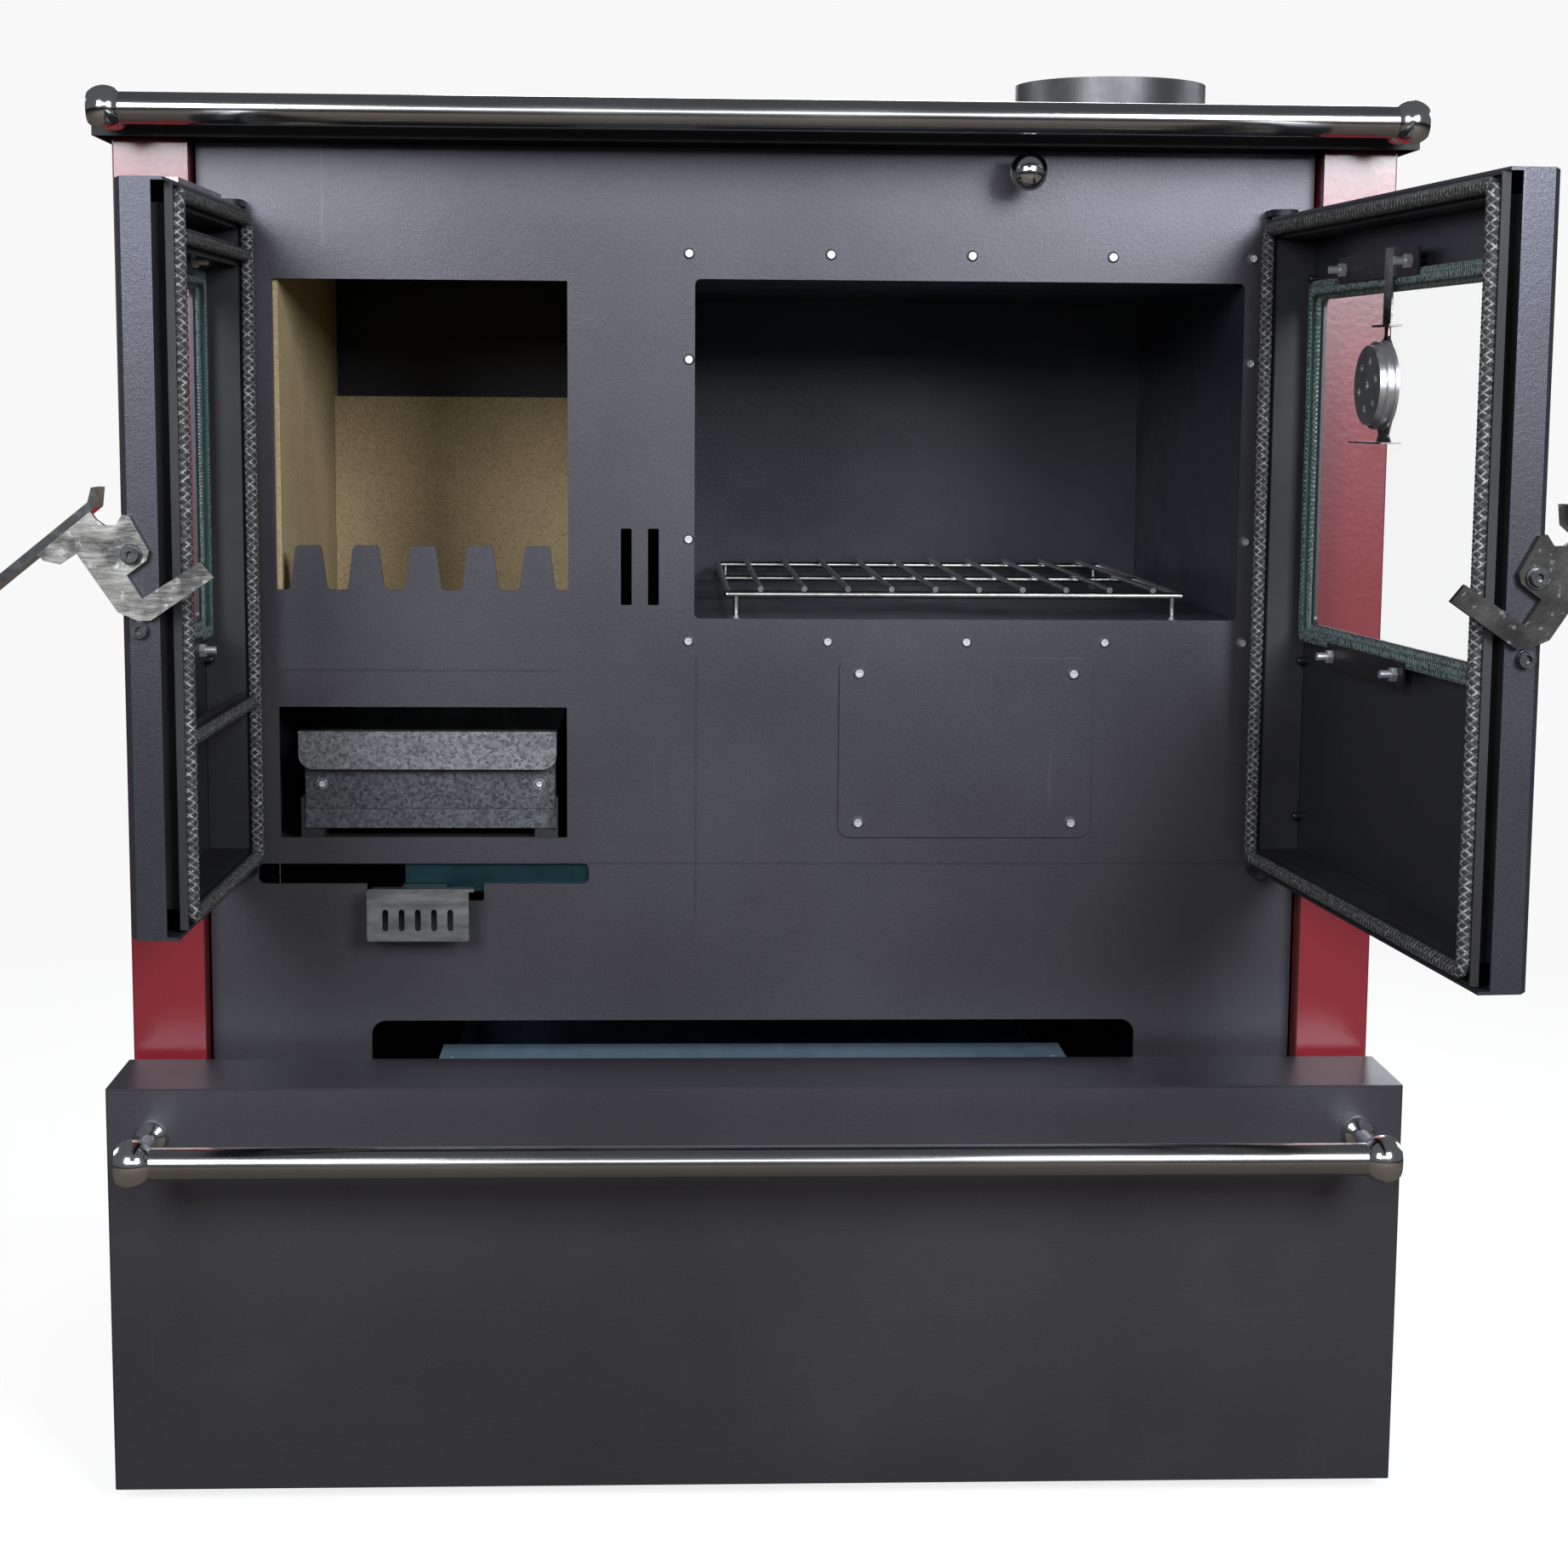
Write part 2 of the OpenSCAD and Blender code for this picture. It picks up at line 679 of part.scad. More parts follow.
module oven_box() {
    flange = 22;
    color([0.09, 0.09, 0.10]) seat() difference() {
        union() {
            span([oven_x0 - sheet, plate_back + gap, oven_z0 - sheet],
                [oven_x1 + sheet, oven_back, oven_z1 + sheet]);
            span([oven_x0 - flange, plate_back + gap, oven_z0 - flange],
                [oven_x1 + flange, plate_back + gap + sheet, oven_z1 + flange]);
        }
        span([oven_x0, plate_back - 1, oven_z0], [oven_x1, oven_back - sheet, oven_z1]);
        screw_places() bar_y(0, 2.1, plate_back - 1, plate_back + 6, 0, 16);
    }
}
module oven_rack() {
    x1 = rack_x0 + rack_w;
    y1 = rack_y0 + rack_d;
    pitch = rack_w/(rack_wires + 0.4);
    foot_z = oven_z0 + gap;
    color([0.78, 0.78, 0.80]) seat() {
        for (y = [rack_y0, y1]) bar_x(rack_x0, x1, rack_rim_r, y, rack_z, 16);
        for (x = [rack_x0, x1]) bar_y(x, rack_rim_r, rack_y0, y1, rack_z, 16);
        for (x = [rack_x0, x1], y = [rack_y0, y1])
            translate([x, y, rack_z]) sphere(r = rack_rim_r, $fn = 16);
        for (i = [0:rack_wires - 1])
            bar_y(rack_x0 + (i + 0.75)*pitch, wire_r, rack_y0 - 2.4, y1 + 2.4,
                rack_z + rack_rim_r + wire_r - 0.6, 14);
        bar_x(rack_x0, x1, rack_rim_r - 0.4, rack_y0 + rack_d/2, rack_z, 14);
        for (x = [rack_x0 + 6, x1 - 6], y = [rack_y0, y1])
            translate([x, y, foot_z]) cylinder(r = rack_rim_r - 0.3, h = rack_z - foot_z, $fn = 16);
    }
}

// Flue damper: a knob and rod through the plate, pushing a plate over the oven

module damper_rod() {
    color([0.75, 0.75, 0.78]) seat() bar_y(knob_x, rod_r, plate_y - 29, rod_end, knob_z, 24);
}
module damper_knob() {
    color([0.82, 0.82, 0.84]) seat() translate([knob_x, plate_y - 35, knob_z]) {
        difference() {
            union() {
                sphere(r = knob_r, $fn = 48);
                bar_y(0, 9, 8, 13, 0, 40);
            }
            bar_y(0, rod_r, 6, 14, 0, 24);
        }
    }
}
module damper_plate() {
    color([0.12, 0.12, 0.13]) seat() {
        span([knob_x - damper_w/2, rod_end, knob_z - 3],
            [knob_x + damper_w/2, rod_end + damper_l, knob_z]);
        span([knob_x - horn_w/2, rod_end, knob_z - 3], [knob_x + horn_w/2, rod_end + 3, knob_z + horn_w/2]);
    }
}

// Wood drawer

module drawer_front() {
    edge = sheet;
    y1 = -drawer_open;
    color([0.19, 0.19, 0.20]) seat() difference() {
        span([-half_w, drawer_y0, drawer_z0], [half_w, y1, drawer_z1]);
        span([-half_w + edge, drawer_y0 + edge, drawer_z0 + edge],
            [half_w - edge, y1 + 1, drawer_z1 - edge]);
        for (x = [-half_w, half_w]) translate([x, drawer_y0, 0]) rotate([0, 0, 45])
            cube([1.6, 1.6, 3*drawer_z1], center = true);
        translate([0, drawer_y0, drawer_z1]) rotate([45, 0, 0])
            cube([2*body_w, 1.6, 1.6], center = true);
    }
}
module wood_box() {
    y0 = drawer_y0 + sheet;
    w = wood_w/2;
    color([0.60, 0.66, 0.70]) seat() {
        difference() {
            span([-w, y0, wood_z0], [w, y0 + wood_d, wood_z1]);
            span([-w + sheet, y0 + sheet, wood_z0 + sheet], [w - sheet, y0 + wood_d - sheet, wood_z1 + 1]);
        }
        span([-w, y0, wood_z1 - 1], [w, y0 + sheet, shelf_top]);
        difference() {
            span([-w, y0, shelf_top - sheet], [w, shelf_back, shelf_top]);
            for (x = [-w + 9, w - 9])
                translate([x, shelf_back - 40, shelf_top - 5]) cylinder(r = 2, h = 9, $fn = 16);
        }
        for (x = [-w, w - sheet]) span([x, y0, wood_z1 - 1], [x + sheet, shelf_back, shelf_top]);
    }
}
module drawer_bar() {
    color([0.78, 0.78, 0.80]) seat()
        bar_x(-bar_end_x - 3, bar_end_x + 3, bar_r, drawer_y0 - bar_out, bar_z, 48);
}
module bar_end_left() {
    rail_end(-bar_end_x, drawer_y0 - bar_out, bar_z, bar_ball_r, bar_r, bar_out, -1);
}
module bar_end_right() {
    rail_end(bar_end_x, drawer_y0 - bar_out, bar_z, bar_ball_r, bar_r, bar_out, 1);
}
module drawer_runners() {
    w = wood_w/2;
    color([0.45, 0.48, 0.50]) seat() for (side = [-1, 1]) {
        span([min(side*(w - 14), side*(w + 4)), plate_back + 3, runner_z - sheet],
            [max(side*(w - 14), side*(w + 4)), body_d - 40, runner_z]);
        span([min(side*(w + 2), side*(w + 4)), plate_back + 3, sheet + gap],
            [max(side*(w + 2), side*(w + 4)), body_d - 40, runner_z + 20]);
    }
}

// Door hinges: a lug on the front plate over and under each door, with a pin into its edge

module hinge_lugs() {
    color([0.55, 0.56, 0.58]) seat() for (side = [-1, 1]) {
        for (end = [0, 1]) {
            z = end == 1 ? door_z1 + 1 : door_z0 - 1 - lug_t;
            x = side*hinge_x;
            span([x - 9, 0, z], [x + 9, plate_y, z + lug_t]);
            translate([x, 0, z]) cylinder(r = 9, h = lug_t, $fn = 32);
            translate([x, 0, end == 1 ? z - 14 : z]) cylinder(r = pin_r, h = lug_t + 14, $fn = 32);
        }
    }
}

// Doors: drawn closed in stove coordinates, then swung open

module swing_left(a = left_open) {
    seat() translate([-hinge_x, 0, 0]) rotate([0, 0, -a]) translate([hinge_x, 0, 0]) children();
}
module swing_right(a = right_open) {
    seat() translate([hinge_x, 0, 0]) rotate([0, 0, a]) translate([-hinge_x, 0, 0]) children();
}
// Cross-section of a sheet folded at both ends, from u0 to u1 and back to v1
module folded(u0, u1, v0, v1) {
    polygon([[u0, v1], [u0, v0 + fold_r], [u0 + fold_in, v0 + fold_in], [u0 + fold_r, v0],
        [u1 - fold_r, v0], [u1 - fold_in, v0 + fold_in], [u1, v0 + fold_r], [u1, v1]]);
}
module door_pan(x0, x1, hinge_at) {
    deep = flange_y;
    difference() {
        intersection() {
            translate([0, 0, door_z0]) linear_extrude(door_z1 - door_z0)
                folded(x0, x1, door_front, deep);
            translate([x0 - 1, 0, 0]) rotate([90, 0, 90]) linear_extrude(x1 - x0 + 2)
                rotate(90) mirror([0, 1, 0]) folded(door_z0, door_z1, door_front, deep);
        }
        span([x0 + sheet, door_front + sheet, door_z0 + sheet],
            [x1 - sheet, deep + 1, door_z1 - sheet]);
        span([x0 - 1, door_edge_back, door_z0 + sheet], [x1 + 1, deep + 1, door_z1 - sheet]);
        window_cut(x0, x1, hinge_at);
        for (b = [[0, 0], [stop_u, stop_v]])
            bar_x(hinge_at < 0 ? x1 - 8 : x0 - 8, hinge_at < 0 ? x1 + 8 : x0 + 8, 3.05,
                pivot_y + b[0], pivot_z + b[1], 24);
        translate([hinge_at, 0, door_z0 - 1]) cylinder(r = pin_r + pin_fit, h = door_z1, $fn = 32);
    }
    translate([hinge_at, 0, 0]) difference() {
        for (z = [door_z0 + 0.5, door_z1 - 10]) translate([0, 0, z]) cylinder(r = 8, h = 9.5, $fn = 32);
        translate([0, 0, door_z0 - 1]) cylinder(r = pin_r + pin_fit, h = door_z1, $fn = 32);
    }
}
module window_cut(x0, x1, hinge_at) {
    left = hinge_at < 0;
    w0 = left ? x0 + window_hinge : x0 + window_free;
    w1 = left ? x1 - window_free : x1 - window_hinge;
    card(w0, w1, window_z0, window_z1, 5, door_front - 1, door_front + sheet + 1);
}
module door_skin_left() {
    color([0.20, 0.20, 0.22]) swing_left() door_pan(-hinge_x, left_free_x, -hinge_x);
}
module door_skin_right() {
    color([0.20, 0.20, 0.22]) swing_right() door_pan(right_free_x, hinge_x, hinge_x);
}

// Inner frame: a wall behind the seal, its flange, and the lip that holds the rope
module door_frame(x0, x1, z0, z1) {
    // x0, x1, z0, z1 are the rope's centre lines
    o = rope_r + 1.8;
    difference() {
        span([x0 - o, door_front + sheet + gap, z0 - o], [x1 + o, lip_y, z1 + o]);
        span([x0 - rope_r - gap, flange_y, z0 - rope_r - gap],
            [x1 + rope_r + gap, lip_y + 1, z1 + rope_r + gap]);
        span([x0 + o, door_front - 1, z0 + o], [x1 - o, lip_y + 1, z1 - o]);
        difference() {
            span([x0 - o - 1, door_front - 1, z0 - o - 1], [x1 + o + 1, flange_y - 1.6, z1 + o + 1]);
            span([x0 + o - 2, door_front - 2, z0 + o - 2], [x1 - o + 2, flange_y, z1 - o + 2]);
        }
    }
}
module door_frame_left() {
    x0 = -hinge_x + rope_hinge + 4.2;
    color([0.12, 0.12, 0.13]) swing_left() {
        door_frame(x0, left_rope_free, rope_bottom, rope_top);
        for (z = [rope_mid, rope_head])
            span([x0 + rope_r, flange_y - 1.6, z - 7], [left_rope_free - rope_r, flange_y, z + 7]);
    }
}
module door_frame_right() {
    x1 = hinge_x - rope_hinge - 4.2;
    color([0.12, 0.12, 0.13]) swing_right() door_frame(right_rope_free, x1, rope_bottom, rope_top);
}

// Rope seals: straight round runs with ball corners
module rope_ring(x0, x1, z0, z1, extra) {
    for (z = concat([z0, z1], extra)) bar_x(x0, x1, rope_r, rope_y, z, 24);
    for (x = [x0, x1]) translate([x, rope_y, z0]) cylinder(r = rope_r, h = z1 - z0, $fn = 24);
    for (x = [x0, x1], z = concat([z0, z1], extra))
        translate([x, rope_y, z]) sphere(r = rope_r, $fn = 24);
}
module door_rope_left() {
    x0 = -hinge_x + rope_hinge + 4.2;
    color([0.24, 0.24, 0.24]) swing_left()
        rope_ring(x0, left_rope_free, rope_bottom, rope_top, [rope_mid, rope_head]);
}
module door_rope_right() {
    x1 = hinge_x - rope_hinge - 4.2;
    color([0.24, 0.24, 0.24]) swing_right()
        rope_ring(right_rope_free, x1, rope_bottom, rope_top, []);
}

// Glass, its seal and the clips that press it against the door skin
module glass_pane(w0, w1) {
    span([w0 - glass_over, glass_front, window_z0 - glass_over],
        [w1 + glass_over, glass_back, window_z1 + glass_over]);
}
module glass_seal(w0, w1) {
    difference() {
        span([w0 - glass_over + 1, door_front + sheet, window_z0 - glass_over + 1],
            [w1 + glass_over - 1, glass_front, window_z1 + glass_over - 1]);
        span([w0 - 1, door_front, window_z0 - 1], [w1 + 1, glass_front + 1, window_z1 + 1]);
    }
}
module glass_clips(xs) {
    // a strip over the glass edge, held by two studs with nuts, above and below the window
    for (end = [0, 1]) {
        z = end == 1 ? window_z1 + glass_over + 6 : window_z0 - glass_over - 6;
        span([xs[0] - 12, strip_y, z - 8], [xs[1] + 12, strip_y + strip_t, z + 8]);
        for (x = xs) {
            bar_y(x, 2.5, door_front + sheet, strip_y + 12, z, 16);
            translate([x, strip_y + strip_t - eps, z]) rotate([-90, 0, 0]) cylinder(r = 4.6, h = 4, $fn = 6);
        }
    }
}
module dome_studs(x, zs) {
    // welded studs with round ends beside the glass
    for (z = zs) {
        bar_y(x, stud_r, door_front + sheet, door_front + sheet + dome_h - stud_r, z, 20);
        translate([x, door_front + sheet + dome_h - stud_r, z]) sphere(r = stud_r, $fn = 20);
    }
}
module door_glass_left() {
    color([0.75, 0.80, 0.80, 0.35]) swing_left() glass_pane(left_w0, left_w1);
}
module door_glass_right() {
    color([0.75, 0.80, 0.80, 0.35]) swing_right() glass_pane(right_w0, right_w1);
}
module glass_seal_left() {
    color([0.3, 0.32, 0.32]) swing_left() glass_seal(left_w0, left_w1);
}
module glass_seal_right() {
    color([0.3, 0.32, 0.32]) swing_right() glass_seal(right_w0, right_w1);
}
module glass_clips_left() {
    mid = (left_w0 + left_w1)/2;
    color([0.5, 0.5, 0.52]) swing_left() {
        glass_clips([mid - clip_half_left, mid + clip_half_left]);
        dome_studs(left_w0 - 14.6, [fire_z0 - 44, fire_z0 + 23, window_z1 - 102, window_z1 - 41]);
    }
}
module glass_clips_right() {
    mid = (right_w0 + right_w1)/2 + clip_shift;
    color([0.5, 0.5, 0.52]) swing_right() {
        glass_clips([mid - clip_half_right, mid + clip_half_right]);
        dome_studs(right_w1 + 14.6, [door_z0 + 40, window_z0 - 26, window_z1 + 14]);
    }
}

// Latch lever in its own plane: u is towards the stove and v is up from the pivot
module latch_plate() {
    translate([0, pivot_y, pivot_z]) rotate([90, 0, 90]) linear_extrude(latch_t) difference() {
        polygon([[-5, 22.5], [-1, 22], [10, 2], [8.5, -3.5], [-3, -12], [5.5, -25.5],
            [39.5, -4], [47, -13], [10, -38.2], [3, -38.4], [-8.5, -33.5], [-31.7, 0.5],
            [-41.5, -6], [-50.5, -4], [-54, -0.5], [-23, 24.5], [-20, 20], [-15, 16.5],
            [-9, 16.5]]);
        circle(r = 3.08, $fn = 24);
    }
}
module latch_grip(x0, x1) {
    translate([x0, pivot_y - 21, pivot_z + 26.1]) rotate([90, 0, 90]) rotate(grip_angle)
        linear_extrude(x1 - x0) polygon([[-grip_l, eps], [1, eps], [9, 8], [6.6, 10.2],
            [-0.5, grip_t], [-grip_l, grip_t]]);
}
module latch_bolts(x, dir) {
    // pivot bolt with its washer, and the stop bolt under the lever, both with a hexagon socket
    latch_bolt(x, dir, 0, 0, latch_t + latch_off, 6.3);
    latch_bolt(x, dir, stop_u, stop_v, 0.5, bolt_r);
}
module latch_bolt(x, dir, u, v, out, washer) {
    translate([x, pivot_y + u, pivot_z + v]) rotate([0, dir*90, 0]) {
        translate([0, 0, -4]) cylinder(r = 3, h = out + 5, $fn = 24);
        translate([0, 0, out + 0.4]) cylinder(r = washer, h = 1, $fn = 32);
        difference() {
            translate([0, 0, out + 0.9]) cylinder(r = bolt_r - 0.3, h = 3.6, $fn = 32);
            translate([0, 0, out + 2.4]) cylinder(r = 2.3, h = 4, $fn = 6);
        }
    }
}
module latch_left() {
    color([0.62, 0.60, 0.57]) swing_left() translate([left_latch_x, 0, 0]) latch_plate();
}
module latch_right() {
    color([0.25, 0.24, 0.24]) swing_right() translate([right_latch_x - latch_t, 0, 0]) latch_plate();
}
module latch_grip_left() {
    color([0.80, 0.80, 0.82]) swing_left()
        latch_grip(left_latch_x + latch_t - grip_w, left_latch_x + latch_t);
}
module latch_grip_right() {
    color([0.80, 0.80, 0.82]) swing_right()
        latch_grip(right_latch_x - latch_t, right_latch_x - latch_t + grip_w);
}
module latch_bolts_left() {
    color([0.2, 0.2, 0.2]) swing_left() latch_bolts(left_free_x, 1);
}
module latch_bolts_right() {
    color([0.2, 0.2, 0.2]) swing_right() latch_bolts(right_free_x, -1);
}

// Bent strap over the notch at the top of the firebox door
module door_strap_left() {
    x0 = left_rope_free - 30;
    x1 = -hinge_x + 70;
    color([0.35, 0.36, 0.38]) swing_left() {
        span([x1, -2, door_z1 + 0.2], [x0, 8, door_z1 + 3.2]);
    }
}

// Thermometer hung on the upper clip of the oven door
module thermometer() {
    y0 = hanger_y + hanger_t;
    color([0.75, 0.75, 0.77]) swing_right() translate([thermo_x, y0, thermo_z]) rotate([-90, 0, 0]) {
        difference() {
            union() {
                cylinder(r = thermo_r, h = 2, $fn = 48);
                cylinder(r = thermo_r - 2, h = 5, $fn = 48);
                translate([0, 0, 5]) cylinder(r = thermo_r - 0.5, h = 1.6, $fn = 48);
                translate([0, 0, 6.6]) cylinder(r = thermo_r - 3, h = 4.4, $fn = 48);
            }
            for (a = [0:60:300]) rotate(a + 15) translate([15, 0, 9]) cylinder(r = 2.4, h = 5, $fn = 24);
            translate([0, 0, 9]) cylinder(r = 2.6, h = 5, $fn = 24);
        }
    }
}
module thermometer_hanger() {
    y0 = hanger_y;
    top = window_z1 + glass_over + 14 + gap;
    color([0.55, 0.55, 0.57]) swing_right() {
        span([thermo_x - 7, y0, thermo_z + 36], [thermo_x + 7, y0 + hanger_t, top + hanger_t]);
        span([thermo_x - 7, glass_back, top], [thermo_x + 7, y0 + hanger_t, top + hanger_t]);
        span([thermo_x - 24, y0, thermo_z + 35], [thermo_x + 7, y0 + 8, thermo_z + 36.2]);
        translate([0, y0 + 1.2, 0]) rotate([90, 0, 0]) linear_extrude(1.2)
            polygon([[thermo_x - 3, thermo_z + 36], [thermo_x + 3, thermo_z + 36],
                [thermo_x + 3, thermo_z + 30], [thermo_x + 14, thermo_z + 20],
                [thermo_x + 14, thermo_z - 20], [thermo_x + 8, thermo_z - 30],
                [thermo_x + 13, thermo_z - 34.5], [thermo_x - 13, thermo_z - 34.5],
                [thermo_x - 8, thermo_z - 30], [thermo_x - 14, thermo_z - 20],
                [thermo_x - 14, thermo_z + 20], [thermo_x - 3, thermo_z + 30]]);
        span([thermo_x - 30, y0, thermo_z - 35], [thermo_x + 30, y0 + 13, thermo_z - 34]);
    }
}

base_tray();
side_panel_left();
side_panel_right();
back_panel();
front_plate();
hob_frame();
hob_plate();
hob_ring();
hob_lid();
flue_collar();
top_rail();
rail_end_left();
rail_end_right();
firebox_casing();
firebrick_left();
firebrick_right();
firebrick_back();
fire_grate();
ash_guides();
ash_pan();
ash_pan_lip();
air_slide();
oven_box();
oven_rack();
oven_screws();
cover_plate();
cover_screws();
damper_rod();
damper_knob();
damper_plate();
drawer_front();
wood_box();
drawer_bar();
bar_end_left();
bar_end_right();
drawer_runners();
hinge_lugs();
door_skin_left();
door_frame_left();
door_rope_left();
door_glass_left();
glass_seal_left();
glass_clips_left();
latch_left();
latch_grip_left();
latch_bolts_left();
door_strap_left();
door_skin_right();
door_frame_right();
door_rope_right();
door_glass_right();
glass_seal_right();
glass_clips_right();
latch_right();
latch_grip_right();
latch_bolts_right();
thermometer();
thermometer_hanger();
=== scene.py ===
import math

import bmesh
import bpy
import numpy as np
from mathutils import Euler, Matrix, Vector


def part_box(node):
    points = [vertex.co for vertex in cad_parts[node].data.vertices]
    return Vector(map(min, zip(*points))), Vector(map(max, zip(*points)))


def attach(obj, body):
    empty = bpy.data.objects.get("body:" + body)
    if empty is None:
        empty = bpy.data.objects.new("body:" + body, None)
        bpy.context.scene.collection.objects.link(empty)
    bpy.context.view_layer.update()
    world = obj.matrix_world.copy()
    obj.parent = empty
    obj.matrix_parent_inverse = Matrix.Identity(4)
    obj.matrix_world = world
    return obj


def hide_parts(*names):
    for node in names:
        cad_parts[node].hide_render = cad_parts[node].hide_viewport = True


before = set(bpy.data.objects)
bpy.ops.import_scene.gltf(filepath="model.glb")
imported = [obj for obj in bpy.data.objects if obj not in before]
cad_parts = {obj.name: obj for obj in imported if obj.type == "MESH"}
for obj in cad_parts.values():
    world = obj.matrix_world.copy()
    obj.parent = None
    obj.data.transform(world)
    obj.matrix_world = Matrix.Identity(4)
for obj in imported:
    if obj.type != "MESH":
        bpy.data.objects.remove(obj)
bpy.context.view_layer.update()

# Camera.
# The photograph looks at the stove from just left of its middle and from a little above
# the oven, turned slightly to the right and tilted down, with a long lens.
SENSOR_MM = 36
FRAME_PIXELS = 1843
LENS_PIXELS = 3300  # the focal length, in the photograph's own pixels
COLUMN_FACE_Y = -0.295  # the front faces of the red columns
camera = bpy.data.objects.new("camera", bpy.data.cameras.new("camera"))
bpy.context.scene.collection.objects.link(camera)
camera.data.sensor_width = SENSOR_MM
camera.data.lens = SENSOR_MM*LENS_PIXELS/FRAME_PIXELS
camera.data.clip_start = 0.05
camera.location = (-0.0625, COLUMN_FACE_Y - 1.8929, 0.7246)
tilt_down, lean, turn_right = 7.717, -0.403, -2.388  # degrees
camera.rotation_euler = Euler(
    (math.radians(90 - tilt_down), math.radians(lean), math.radians(turn_right)), "XYZ")
bpy.context.scene.camera = camera

# Studio.
# The stove stands on a white ground in a dim room, with a softbox at the left and one at the
# right of the camera. A pale wall behind the camera, lit faintly, gives the long highlight on
# the rails and softens the shadows. Three more lamps stand behind the line of the front, so
# they light the sides and the back and hardly touch the doors' inner faces.


class Wire:
    """One socket of a material's tree. Arithmetic on wires adds Math nodes."""

    def __init__(self, tree, socket=None):
        self.tree, self.socket = tree, socket

    def add(self, kind, settings=None, out=0, **given):
        """Adds a node. Its settings are set first, then its sockets get values or wires: i0, i1
        and so on stand for sockets by their number, and other words for sockets by their name."""
        node = self.tree.nodes.new("ShaderNode" + kind)
        for name, value in (settings or {}).items():
            setattr(node, name, value)
        for name, value in given.items():
            key = int(name[1:]) if name[1:].isdigit() else name.replace("_", " ")
            socket = node.inputs[key]
            if isinstance(value, Wire):
                self.tree.links.new(value.socket, socket)
            else:
                socket.default_value = value
        return Wire(self.tree, node.outputs[out] if node.outputs else None)

    def math(self, operation, *values):
        sockets = {f"i{n}": value for n, value in enumerate(values)}
        return self.add("Math", {"operation": operation}, **sockets)

    def wave(self, kind):
        return self.math(kind, self)

    def clamp(self):
        return self.add("Clamp", Value=self, Min=0.0, Max=1.0)

    def blend(self, first, second):
        """Mixes two colours, with this wire as the share of the second one."""
        return self.add("Mix", {"data_type": "RGBA"}, 2, i0=self.clamp(),
                        i6=as_colour(first), i7=as_colour(second))

    def between(self, low, high):
        """Runs smoothly from 0 to 1 as this wire goes from low to high."""
        return self.add("MapRange", {"interpolation_type": "SMOOTHSTEP"}, Value=self,
                        From_Min=low, From_Max=high)

    def __add__(self, other): return self.math("ADD", self, other)
    def __sub__(self, other): return self.math("SUBTRACT", self, other)
    def __mul__(self, other): return self.math("MULTIPLY", self, other)
    def __rsub__(self, other): return self.math("SUBTRACT", other, self)
    def __abs__(self): return self.math("ABSOLUTE", self)
    __radd__, __rmul__ = __add__, __mul__


def as_colour(value):
    """A wire as it is, or three numbers as an opaque colour."""
    return value if isinstance(value, Wire) else (*value, 1)


world = bpy.data.worlds.new("room")
bpy.context.scene.world = world
world.use_nodes = True
world.node_tree.nodes.clear()
room = Wire(world.node_tree)
# The ground is white to the camera and through the glass, dim in mirrors, and darker to paint.
WHITE_GROUND = (0.94, 0.94, 0.94)
seen = (room.add("LightPath", out="Is Camera Ray")
        + room.add("LightPath", out="Is Transmission Ray")).clamp()
mirrored = room.add("LightPath", out="Is Glossy Ray")
glow = room.add("Background", Color=seen.blend((0.86, 0.93, 1.0), WHITE_GROUND),
                Strength=0.03 + mirrored*0.08 + seen*0.97)
room.add("OutputWorld", Surface=glow)
LAMP_WHITE = (0.93, 0.955, 1.0)


def lamp(name, place, target, size, watts):
    """A soft oblong lamp that looks from one point at another."""
    data = bpy.data.lights.new(name, "AREA")
    data.shape = "RECTANGLE"
    data.size, data.size_y = size
    data.energy = watts
    data.color = LAMP_WHITE
    made = bpy.data.objects.new(name, data)
    aim = np.subtract(target, place)
    made.location = place
    made.rotation_euler = Euler((math.atan2(math.hypot(aim[0], aim[1]), -aim[2]), 0,
                                 math.atan2(-aim[0], aim[1])), "XYZ")
    bpy.context.scene.collection.objects.link(made)


lamp("left softbox", (-0.98, -2.4, 1.46), (0, -0.3, 0.7), (0.75, 0.92), 36)
lamp("right softbox", (1.0, -2.4, 1.46), (0, -0.3, 0.7), (0.75, 0.92), 48)
lamp("pale wall behind the camera", (0.1, -3.8, 1.65), (0.1, -0.3, 0.9), (3.0, 0.8), 19)
lamp("left fill behind the doors", (-2.8, 0.9, 1.5), (-0.4, 0, 0.5), (1.0, 1.0), 18)
lamp("right fill behind the doors", (2.8, 0.9, 1.5), (0.4, 0, 0.5), (1.0, 1.0), 18)
lamp("rear fill", (0.4, 3.0, 1.7), (0, 0.3, 0.5), (1.8, 1.0), 45)


def surface(name, colour, roughness, metallic=0.0, bump=None, distance=0.0002, **more):
    """A finish: a Principled surface. Colour, roughness and bump height are each a value, or a
    function that works them out from the material's first wire. Distance is the bump's height
    in metres, and further words name further sockets."""
    material = bpy.data.materials.new(name)
    material.use_nodes = True
    material.node_tree.nodes.clear()
    start = Wire(material.node_tree)
    values = [v(start) if callable(v) else v for v in (colour, roughness, bump)]
    given = {"Base Color": as_colour(values[0]), "Roughness": values[1], "Metallic": metallic}
    if values[2] is not None:
        given["Normal"] = start.add("Bump", Height=values[2], Distance=distance, Strength=1.0)
    for key, value in more.items():
        given[key] = value(start) if callable(value) else value
    shader = start.add("BsdfPrincipled", **given)
    start.add("OutputMaterial", Surface=shader)
    return material


def place_of(wire, scale=(1, 1, 1), turn=(0, 0, 0)):
    """The point on the piece in metres, stretched or turned for a pattern."""
    here = wire.add("TexCoord", out="Object")
    return wire.add("Mapping", Vector=here, Scale=scale, Rotation=turn)


